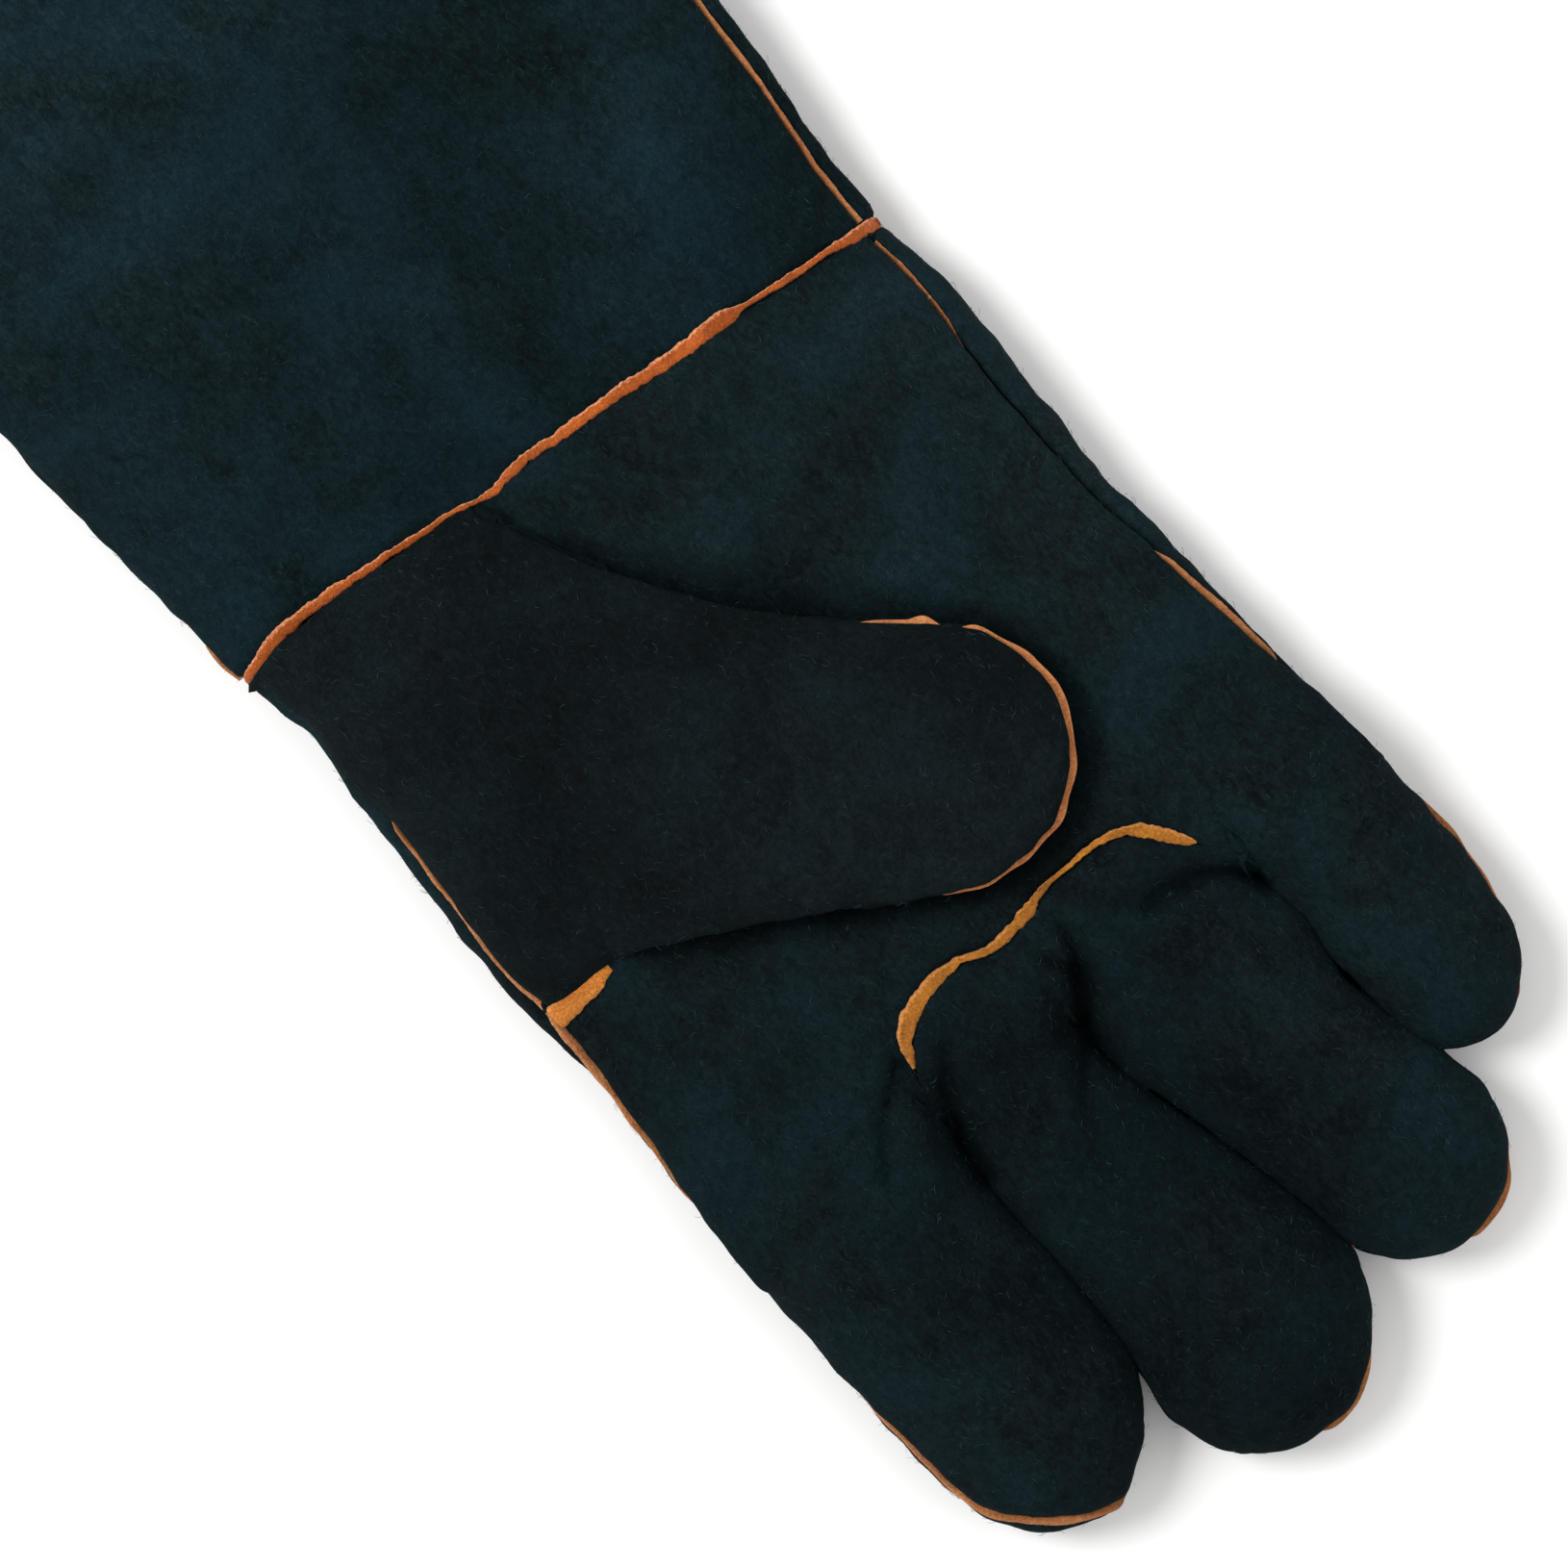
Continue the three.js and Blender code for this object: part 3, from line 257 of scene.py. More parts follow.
def palmTop(x, y, across=0.0, pressed=True):
    line = outlineAt(y)
    t = (x - line["middle"]) / line["half"]
    over = 1 - glove["seamShare"]
    whole = crown(t, 2.5) * line["depth"] * over
    parted = np.clip((y / crotchY - 0.87) / 0.13, 0, 1) ** 1.4  # the leather parts only near the crotch
    split = crown(across * mix(0.5, 1, parted), 2.2) * glove["fingerDepth"] * over
    settled = crown(t, 6) * mix(1, crown(across, 6), parted)
    sunk = (bedDepth(x, y) + foldDepth(x, y)) * settled if pressed else 0
    return seamZ(y) + mix(whole, split, fingered(y)) - sunk


def palmUnder(x, y, across):
    line = outlineAt(y)
    seam = seamZ(y)
    whole = underside((x - line["middle"]) / line["half"], seam)
    return mix(whole, underside(across, seam), fingered(y))


def palmNormal(x, y, across=0.0):
    reach = 0.5
    slopeX = palmTop(x + reach, y, across) - palmTop(x - reach, y, across)
    slopeY = palmTop(x, y + reach, across) - palmTop(x, y - reach, across)
    normal = np.stack([-slopeX, -slopeY, np.full(np.shape(slopeX), 2 * reach)], -1)
    return normal / np.linalg.norm(normal, axis=-1, keepdims=True)


def sideSeam(y, side):
    # the side seam's place at y and the way out of the leather there
    y = np.asarray(y, float)
    line = outlineAt(y)
    wrap = line["lowWrap"] if side < 0 else line["highWrap"]
    t = 1 - wrap / line["half"]
    x = line["middle"] + side * line["half"] * t
    height = line["depth"] * (1 - glove["seamShare"])
    top = crown(t, 2.5)
    z = seamZ(y) + np.where(wrap > 0, top * height, 0)
    slope = (height / line["half"]) * (t / np.maximum(top, 0.12)) ** 1.5
    slope = np.where(wrap > 0, slope, 60)
    out = np.stack([side * slope, np.zeros(y.shape), np.ones(y.shape)], -1)
    out /= np.linalg.norm(out, axis=-1, keepdims=True)
    return np.stack([x, y, z], -1), out


# Fingers from the little one to the index: columns, shoulder y, tip y, depth share, low and high edges
# at even steps from the crotch to the shoulder, how square each side of the tip is, and how far the
# back's leather comes up over the tip, by degrees round it from the thumb's side.
fingers = [
    {"columns": 5, "shoulder": 172.1, "tip": 189.9, "depth": 0.88, "square": (1.7, 2.9), "wrap": None,
     "low": (-76.0, -76.2, -76.2, -76.0, -75.5, -74.6), "high": (-45.0, -45.9, -46.2, -45.1, -45.3, -46.2)},
    {"columns": 6, "shoulder": 194.9, "tip": 215.5, "depth": 0.97, "square": (2.0, 1.95), "wrap": None,
     "low": (-45.0, -46.4, -44.9, -45.9, -48.6, -50.3), "high": (-2.5, -3.0, -5.9, -8.4, -10.9, -13.2)},
    {"columns": 5, "shoulder": 200.9, "tip": 225.0, "depth": 1.0, "square": (1.6, 2.1), "wrap": None,
     "low": (-2.5, -3.2, -6.4, -9.3, -11.8, -13.3), "high": (27.5, 28.6, 28.5, 28.5, 29.0, 31.3)},
    {"columns": 6, "shoulder": 186.3, "tip": 209.7, "depth": 1.0, "square": (1.7, 1.75),
     "wrap": [(0, 0.8), (20, 1.1), (40, 1.9), (62, 2.0), (82, 1.0), (98, 0.0), (180, 0.0)],
     "low": (27.5, 28.4, 28.9, 28.2, 28.4, 28.9), "high": (72.0, 72.2, 72.3, 72.0, 71.6, 71.2)},
]
fingerRows, tipRows = 5 * detail, 4 * detail
fingerGap = -1.5  # neighbours press on each other

columnAcross, columnX, fingerStart = [], [], []
for finger in fingers:
    steps = acrossSteps(finger["columns"] * detail)
    fingerStart.append(max(len(columnX) - 1, 0))
    places = mix(finger["low"][0], finger["high"][0], (steps + 1) / 2)
    skip = 1 if columnX else 0
    columnAcross += list(steps[skip:])
    columnX += list(places[skip:])
columnAcross, columnX = np.array(columnAcross), np.array(columnX)
lastColumn = len(columnX) - 1
atCrotch = (columnX - columnX[0]) / (columnX[-1] - columnX[0]) * 2 - 1
atWrist = np.sin((np.arange(lastColumn + 1) / lastColumn - 0.5) * np.pi)

heelRows, palmRows, handRows = 8 * detail, 12 * detail, 15 * detail
rootY = thumbRibs[0][4]
heelShares = (acrossSteps(heelRows) + 1) / 2


def rowShare(row):
    # which stretch of the hand a row is in, and its share of the way along it
    if row < heelRows:
        return 0, heelShares[row]
    if row < palmRows:
        return 1, (row - heelRows) / (palmRows - heelRows)
    return 2, (row - palmRows) / (handRows - palmRows)


def rowLine(k, x):
    return [wristY(x), np.full(np.shape(x), rootY), knuckleY(x), np.full(np.shape(x), crotchY)][k]


def handPlaces(row, seamed):
    k, s = rowShare(row)
    spread = mix(atWrist, atCrotch, smooth(row / handRows * 1.08))
    x = np.zeros(lastColumn + 1)
    for _ in range(4):
        y = mix(rowLine(k, x), rowLine(k + 1, x), s)
        low = sideSeam(y, -1)[0][..., 0] if seamed else outlineAt(y)["low"]
        high = sideSeam(y, 1)[0][..., 0] if seamed else outlineAt(y)["high"]
        x = mix(low, high, (spread + 1) / 2)
    return x, y


def handRow(row, upper):
    x, y = handPlaces(row, upper)
    z = palmTop(x, y, columnAcross) if upper else palmUnder(x, y, columnAcross)
    line = np.stack([x, y, z], -1)
    for i, side in ((0, -1), (lastColumn, 1)):
        if upper:
            line[i] = sideSeam(y[i], side)[0]
        else:
            line[i, 2] = seamZ(y[i])
    return line


fingerEdgeTables = [[(k / 5, finger["low"][k], finger["high"][k]) for k in range(6)] for finger in fingers]


def fingerEdges(f, share):
    gap = smooth(share * 4) * fingerGap / 2
    low = readTable(fingerEdgeTables[f], 1, share) + (gap if f > 0 else 0)
    high = readTable(fingerEdgeTables[f], 2, share) - (gap if f < 3 else 0)
    return low, high


def wrapShare(f, row, u, v):
    # how far the back's leather comes in over the finger there, as a share of half its width
    if fingers[f]["wrap"] is None:
        return np.zeros(np.shape(u))
    degrees = np.degrees(np.arctan2(v, u))
    growing = smooth((row - 0.45 * fingerRows) / (0.5 * fingerRows))
    return np.maximum(readTable(fingers[f]["wrap"], 1, degrees), 0) / 22 * growing


def squareTip(f, u, v):
    # the tip's two sides are not quite elliptical
    low, high = fingers[f]["square"]
    power = np.where(u < 0, low, high)
    reach = np.clip(v, 0, 0.985)
    fit = (1 - reach ** power) ** (1 / power) / np.sqrt(1 - reach * reach)
    return u * np.clip(fit, 0.55, 1.3)


def fingerPoints(f, row, across, drawn):
    # places across a finger at a row; drawn is how much of the way they are drawn in to the seam
    finger = fingers[f]
    tipLength = finger["tip"] - finger["shoulder"]
    share = min(row / fingerRows, 1)
    low, high = fingerEdges(f, share)
    half = (high - low) / 2
    up = max(row - fingerRows, 0) / tipRows
    u = across * np.sqrt(1 - up * up / 2)
    v = up * np.sqrt(1 - across * across / 2)
    inside = 1 - drawn * wrapShare(f, row, u, v)
    u, v = u * inside, v * inside
    x = (low + high) / 2 + half * squareTip(f, u, v)
    y = mix(crotchY, finger["shoulder"], share) + tipLength * v
    r = np.minimum(np.hypot(u, v), 1)
    return x, y, r


def fingerTop(f, row, x, y, r):
    seam = glove["fingerDepth"] * glove["seamShare"]
    settled = smooth(row / (2 * detail))
    height = glove["fingerDepth"] * mix(1, fingers[f]["depth"], settled) - seam
    return seam + height * crown(r, 2.2) - foldDepth(x, y) * crown(r, 6)


def fingerRow(f, row, across, upper, drawn=None):
    x, y, r = fingerPoints(f, row, across, (1 if upper else 0) if drawn is None else drawn)
    if upper:
        z = fingerTop(f, row, x, y, r)
    else:
        z = underside(r, glove["fingerDepth"] * glove["seamShare"])
    return np.stack([x, y, z], -1)


def fingerWrapGrid(f):
    # the back's leather from the outline up to the seam on the thumb's side and over the tip
    count = fingers[f]["columns"] * detail
    rim = [(row, np.array([1.0])) for row in range(1, fingerRows + tipRows + 1)]
    rim += [(fingerRows + tipRows, np.array([a])) for a in acrossSteps(count)[::-1][1:]]
    return np.array([[fingerRow(f, row, across, True, drawn=k / detail)[0] for row, across in rim]
                     for k in range(detail + 1)])


def fingerGrid(f, upper, base):
    count = fingers[f]["columns"] * detail
    start = fingerStart[f]
    rows = [base[start:start + count + 1]]
    steps = acrossSteps(count)
    rows += [fingerRow(f, row, steps, upper) for row in range(1, fingerRows + tipRows + 1)]
    return np.array(rows)


# A panel is made of grids of points whose rows run up the glove; a lower grid faces down.
def gridMesh(name, grids):
    points, faces, count = [], [], 0
    for grid, upper in grids:
        rows, cols = grid.shape[:2]
        ids = np.arange(rows * cols).reshape(rows, cols) + count
        a, b, c, d = ids[:-1, :-1], ids[:-1, 1:], ids[1:, 1:], ids[1:, :-1]
        quads = np.stack([a, b, c, d] if upper else [a, d, c, b], -1).reshape(-1, 4)
        points.append(grid.reshape(-1, 3))
        faces.append(quads)
        count += rows * cols
    mesh = bpy.data.meshes.new(name)
    mesh.from_pydata(toMetres(np.concatenate(points)).tolist(), [], np.concatenate(faces).tolist())
    mesh.validate()
    shell = bmesh.new()
    shell.from_mesh(mesh)
    bmesh.ops.remove_doubles(shell, verts=shell.verts, dist=0.000004)
    bmesh.ops.dissolve_degenerate(shell, edges=shell.edges, dist=0.000001)
    shell.to_mesh(mesh)
    shell.free()
    piece = bpy.data.objects.new(name, mesh)
    bpy.context.scene.collection.objects.link(piece)
    return piece


seamRoll = {
    "draw": 0.0003,  # how far each edge stays from the seam's middle line
    "reach": 0.005,
    "radius": 0.0032,  # the leather turns down into the seam over this width
    "depth": 0.0017,
    "stitch": 0.0042,  # stitch spacing
    "pucker": 0.0003,
}


def borderPoints(shell):
    # points every fifth of a millimetre along the sewn borders, each with the way into the leather
    places, ways = [], []
    hem = (-glove["cuffLength"] + 0.5 + glove["centre"][1]) * 0.001
    for edge in shell.edges:
        one, two = edge.verts
        run = two.co - one.co
        if not edge.is_boundary or max(one.co.y, two.co.y) < hem or run.length < 1e-9:
            continue
        way = edge.link_faces[0].calc_center_median() - one.co
        way -= run * (way.dot(run) / run.length_squared)
        way.normalize()
        count = max(int(run.length / 0.0002), 1)
        for k in range(count + 1):
            places.append(one.co + run * (k / count))
            ways.append(way)
    return places, ways


def rollSeams(piece):
    # draws every sewn border back from its seam and turns the leather down into it, with a small
    # pucker at each stitch
    shell = bmesh.new()
    shell.from_mesh(piece.data)
    shell.normal_update()
    places, ways = borderPoints(shell)
    tree = KDTree(len(places))
    for i, place in enumerate(places):
        tree.insert(place, i)
    tree.balance()
    # between two fingers and at the thumb's root, where several borders meet, the seams are closed up tight
    closed = [(toMetres((finger["low"][0], crotchY, 0)), 0.009) for finger in fingers[1:]]
    closed += [(toMetres((*end, 0)), 0.003) for end in (ribEnds[0, 0:2], ribEnds[0, 2:4])]
    moved = []
    for vert in shell.verts:
        place, i, far = tree.find(vert.co)
        if far > seamRoll["reach"]:
            continue
        calm = min(float(smooth((math.hypot(vert.co.x - spot[0], vert.co.y - spot[1]) - tight) / 0.008))
                   for spot, tight in closed)
        near = (1 - far / seamRoll["reach"]) * calm
        turn = max(1 - far / seamRoll["radius"], 0)
        drop = seamRoll["depth"] * (1 - math.sqrt(max(1 - turn * turn, 0))) * calm
        beat = noise.noise(place * (1.3 / seamRoll["stitch"]))
        drop += seamRoll["pucker"] * (0.6 + 1.4 * beat) * near
        moved.append((vert, ways[i] * seamRoll["draw"] * near - vert.normal * drop))
    for vert, shift in moved:
        vert.co += shift
        vert.co.z = max(vert.co.z, 0.0)
    shell.to_mesh(piece.data)
    shell.free()


# How uneven a worn hide lies, in metres: wavelength and height of the broad waves, of the small ones,
# and of the wobble of its edges.
undulation = {"broad": (0.034, 0.0012), "small": (0.012, 0.0003), "edge": (0.0065, 0.0008)}


def unevenness(place, normal):
    # the same on both sides of a seam, because it depends on the place alone
    broad, small, edge = [noise.noise(place / size + Vector((7 * k, 3 * k, k))) * height
                          for k, (size, height) in enumerate(undulation.values())]
    resting = min(place.z / 0.004, 1)  # the part that rests on the table stays flat
    sideways = Vector((normal.x, normal.y, 0))
    return normal * (broad + small) * resting + sideways * edge * (1 - abs(normal.z))


def undulate(piece):
    mesh = piece.data
    normals = [vert.normal.copy() for vert in mesh.vertices]
    for vert, normal in zip(mesh.vertices, normals):
        vert.co += unevenness(vert.co.copy(), normal)


def finishLeather(piece, wall=0.0014):
    bpy.ops.object.select_all(action="DESELECT")
    piece.select_set(True)
    bpy.context.view_layer.objects.active = piece
    thick = piece.modifiers.new("hide thickness", "SOLIDIFY")
    thick.thickness = wall
    thick.offset = -1
    bpy.ops.object.modifier_apply(modifier=thick.name)
    bpy.ops.object.shade_smooth_by_angle(angle=math.radians(50))


# Back of the hand and of all four fingers, wrapping up over the sides to the seams.
wrapColumns = 2 * detail


def wrapRows(ys, side):
    line = outlineAt(ys)
    wrap = line["lowWrap"] if side < 0 else line["highWrap"]
    share = (np.arange(wrapColumns + 1) / wrapColumns) ** 2
    t = 1 - (wrap / line["half"])[:, None] * share[None, :]
    x = line["middle"][:, None] + side * t * line["half"][:, None]
    rise = crown(t, 2.5) * (line["depth"] * (1 - glove["seamShare"]))[:, None]
    z = seamZ(ys)[:, None] + rise
    y = np.repeat(ys[:, None], wrapColumns + 1, 1)
    grid = np.stack([x, y, z], -1)
    return grid if side < 0 else grid[:, ::-1]


def makeHandBack():
    grid = np.array([handRow(row, False) for row in range(handRows + 1)])
    grids = [(grid, False)]
    grids += [(fingerGrid(f, False, grid[-1]), False) for f in range(4)]
    grids += [(fingerWrapGrid(f), True) for f in range(4) if fingers[f]["wrap"]]
    grids += [(wrapRows(grid[:, edge, 1], side), True) for edge, side in ((0, -1), (lastColumn, 1))]
    return gridMesh("back_of_hand_leather", grids)


# Palm with the fronts of the index and little fingers, cut out at the thumb's heel.
rootColumn = lastColumn - 3 * detail


def palmRow(row):
    line = handRow(row, True)
    low, high, start = line[0, 0], line[lastColumn, 0], line[rootColumn, 0]
    settled = smooth((row - heelRows) / (palmRows - heelRows))
    share = heelShares[row] if row <= heelRows else 1
    base = mix(ribEnds[0, 0:2], ribEnds[0, 2:4], share)
    end = mix(base[0], start, settled)
    inner = slice(1, lastColumn)
    x = line[inner, 0]
    moved = np.where(np.arange(1, lastColumn) <= rootColumn,
                     mix(low, end, (x - low) / (start - low)),
                     mix(end, high, (x - start) / (high - start)))
    line[inner, 0] = moved
    if row < heelRows:
        line[inner, 1] = mix(wristY(moved), rootY, heelShares[row])
    line[inner, 2] = palmTop(line[inner, 0], line[inner, 1], columnAcross[inner])
    return line


middleStart, middleEnd = fingerStart[1], fingerStart[3]


def makePalm():
    lower = np.array([palmRow(row) for row in range(heelRows + 1)])
    upper = np.array([palmRow(row) for row in range(heelRows, palmRows + 1)])
    rows = np.array([palmRow(palmRows)] + [handRow(row, True) for row in range(palmRows + 1, handRows + 1)])
    grids = [(lower[:, :rootColumn + 1], True), (upper, True)]
    grids += [(rows[:, :middleStart + 1], True), (rows[:, middleEnd:], True)]
    grids += [(fingerGrid(f, True, rows[-1]), True) for f in (0, 3)]
    return gridMesh("palm_leather", grids)


def makeMiddleFronts():
    rows = np.array([palmRow(palmRows)] + [handRow(row, True) for row in range(palmRows + 1, handRows + 1)])
    grids = [(rows[:, middleStart:middleEnd + 1], True)]
    grids += [(fingerGrid(f, True, rows[-1]), True) for f in (1, 2)]
    return gridMesh("middle_finger_fronts_leather", grids)


# The cuff, hem to wrist seam.
cuffRows, cuffColumns = 14 * detail, 14 * detail


def cuffGrid(upper):
    across = acrossSteps(cuffColumns)
    rows = []
    for row in range(cuffRows + 1):
        x = np.zeros(cuffColumns + 1)
        for _ in range(4):
            y = mix(-glove["cuffLength"], wristY(x), row / cuffRows)
            low = sideSeam(y, -1)[0][..., 0] if upper else outlineAt(y)["low"]
            x = mix(low, outlineAt(y)["high"], (across + 1) / 2)
        line = outlineAt(y)
        t = (x - line["middle"]) / line["half"]
        rise = crown(t, 2.5) * line["depth"] * (1 - glove["seamShare"])
        z = seamZ(y) + rise if upper else underside(t, seamZ(y))
        points = np.stack([x, y, z], -1)
        for i, side in ((0, -1), (cuffColumns, 1)):
            if upper:
                points[i] = sideSeam(y[i], side)[0]
            else:
                points[i, 2] = seamZ(y[i])
        rows.append(points)
    return np.array(rows)


def makeCuff(name, upper):
    grid = cuffGrid(upper)
    grids = [(grid, upper)]
    if not upper:
        grids.append((wrapRows(grid[:, 0, 1], -1), True))
    return gridMesh(name, grids)


# The thumb: its heel starts at the side seam, and its free part runs out over the palm.
thumbColumns, heelRibs, freeRibs, thumbTipRows = heelRows, 4 * detail, lastRib * 10, 4 * detail


heelSide = np.array([[line[-1] for line in handPlaces(row, True)] for row in range(heelRows + 1)])


def heelPlaces(inwards):
    share = heelShares
    a, d = ribEnds[0, 0:2], ribEnds[0, 2:4]
    side = heelSide
    b, c = side[0], side[-1]
    along = mix(a, d, share[:, None])
    wristX = mix(a[0], b[0], inwards)
    wrist = np.array([wristX, float(wristY(wristX))])
    root = mix(d, c, inwards)
    corners = mix(along, mix(b, c, share[:, None]), inwards)
    return mix(along, side, inwards) + mix(wrist, root, share[:, None]) - corners


def heelLine(inwards):
    place = heelPlaces(inwards)
    x, y = place[:, 0], place[:, 1]
    if inwards == 1:
        return sideSeam(y, 1)[0]
    across = acrossSteps(thumbColumns)
    rise = 0.62 * glove["thumbDepth"] * crown(across, 2.2) * crown(inwards, 2.6)
    return np.stack([x, y, palmTop(x, y, 0, False) + rise], -1)


def freeLine(rib, across, outer):
    at = min(rib, lastRib)
    wristEnd = np.array([readTable(thumbRibs, 1, at), readTable(thumbRibs, 2, at)])
    indexEnd = np.array([readTable(thumbRibs, 3, at), readTable(thumbRibs, 4, at)])
    lift, rise = readTable(thumbRibs, 5, at), readTable(thumbRibs, 6, at)
    up = max(rib - lastRib, 0)
    u = across * np.sqrt(1 - up * up / 2)
    v = up * np.sqrt(1 - across * across / 2)
    half = np.hypot(*(indexEnd - wristEnd)) / 2
    if not outer:
        u = u * (1 - 1.9 / half * (1 - smooth((rib - 0.4) / 1.6)))  # tucked in under the outer half
    ribWay = (indexEnd - wristEnd) / (2 * half)
    tipWay = np.array([-ribWay[1], ribWay[0]])
    place = ((wristEnd + indexEnd) / 2 + np.outer(u, ribWay * half)
             + np.outer(v, tipWay * half * thumbTipShare))
    x, y = place[:, 0], place[:, 1]
    r = np.minimum(np.hypot(u, v), 1)
    freed = smooth(rib / 0.8)  # the edges leave the palm only past the root
    ends = [palmTop(end[0], end[1], 0, False) + lift * freed for end in (wristEnd, indexEnd)]
    seam = mix(ends[0], ends[1], (u + 1) / 2)
    settled = smooth(rib / 2)
    floor = mix(palmTop(x, y, 0, False) + lift * freed, seam, settled)
    bulge = mix(0.62 * glove["thumbDepth"], rise, smooth(rib))
    if outer:
        z = floor + bulge * crown(r, 2.2)
    else:
        z = np.maximum(seam - glove["thumbDepth"] * crown(r, 2.2), palmTop(x, y) + 1.2)
    edge = (np.abs(across) > 0.999999) | (up >= 1)
    return np.stack([x, y, np.where(edge, seam, z)], -1)


def freeStops():
    return [lastRib * k / freeRibs for k in range(freeRibs + 1)] + \
        [lastRib + k / thumbTipRows for k in range(1, thumbTipRows + 1)]


def makeThumbOuter():
    heel = [heelLine(k / heelRibs) for k in range(heelRibs, 0, -1)]
    free = [freeLine(rib, acrossSteps(thumbColumns), True) for rib in freeStops()]
    return gridMesh("thumb_outer_leather", [(np.array(heel + free), True)])


def makeThumbUnder():
    free = [freeLine(rib, acrossSteps(thumbColumns), False) for rib in freeStops()]
    return gridMesh("thumb_under_leather", [(np.array(free), False)])


# Flat cuts of the leather, in metres, as width, length and area.
leatherPieces = [
    {"make": makeHandBack, "node": "hand_back", "flat": (0.172, 0.238), "area": 0.0380},
    {"make": makePalm, "node": "palm_panel", "flat": (0.160, 0.215), "area": 0.0220},
    {"make": makeMiddleFronts, "node": "middle_fingers_front", "flat": (0.090, 0.122), "area": 0.0100},
    {"make": makeThumbOuter, "node": "thumb_outer", "flat": (0.105, 0.130), "area": 0.0105},
    {"make": makeThumbUnder, "node": "thumb_under", "flat": (0.060, 0.120), "area": 0.0060},
    {"make": lambda: makeCuff("cuff_front_leather", True), "node": "cuff_palm_side",
     "flat": (0.175, 0.178), "area": 0.0305},
    {"make": lambda: makeCuff("cuff_back_leather", False), "node": "cuff_back",
     "flat": (0.175, 0.178), "area": 0.0305},
]


def toLinear(hexColour):
    channels = [int(hexColour[i:i + 2], 16) / 255 for i in (1, 3, 5)]
    return tuple(c / 12.92 if c <= 0.04045 else ((c + 0.055) / 1.055) ** 2.4 for c in channels) + (1.0,)


def addNode(tree, kind, settings=None, inputs=None, **links):
    # a node with its settings, and its inputs by number or name, from other outputs or plain values
    node = tree.nodes.new(kind)
    for name, value in (settings or {}).items():
        setattr(node, name, value)
    named = {name.replace("_", " "): value for name, value in links.items()}
    for key, value in {**named, **(inputs or {})}.items():
        if isinstance(value, bpy.types.NodeSocket):
            tree.links.new(value, node.inputs[key])
        else:
            node.inputs[key].default_value = value
    return node


def newMaterial(name):
    material = bpy.data.materials.new(name)
    material.use_nodes = True
    tree = material.node_tree
    tree.nodes.clear()
    return material, tree


# Split leather brushed to a nap: matt and nearly black teal, navy where the dye took more. Sizes of the
# pattern are the nap's own: tufts 0.7 mm, strokes of the brush 1.3 by 2.4 mm, mottling 2.2 mm, lie of
# the nap 8 mm, patches of dye 28 mm, paler and darker parts of the hide 50 mm.
suedeLook = {
    "dark": "#090f11",
    "mid": "#101b1d",
    "navy": "#102127",
    "light": "#1b3034",
    "tuft": 0.0007,
    "stroke": 0.0013,
    "mottle": 0.0022,
    "lie": 0.008,
    "patch": 0.028,
    "hide": 0.05,
    "along": (-0.07, -0.13, 1.35),  # y from and to, shade there: paler towards the cuff's end
    "across": (0.01, -0.05, 1.3),  # x from and to, shade there: painted light, the little finger's side is painted paler as if lit more strongly
}


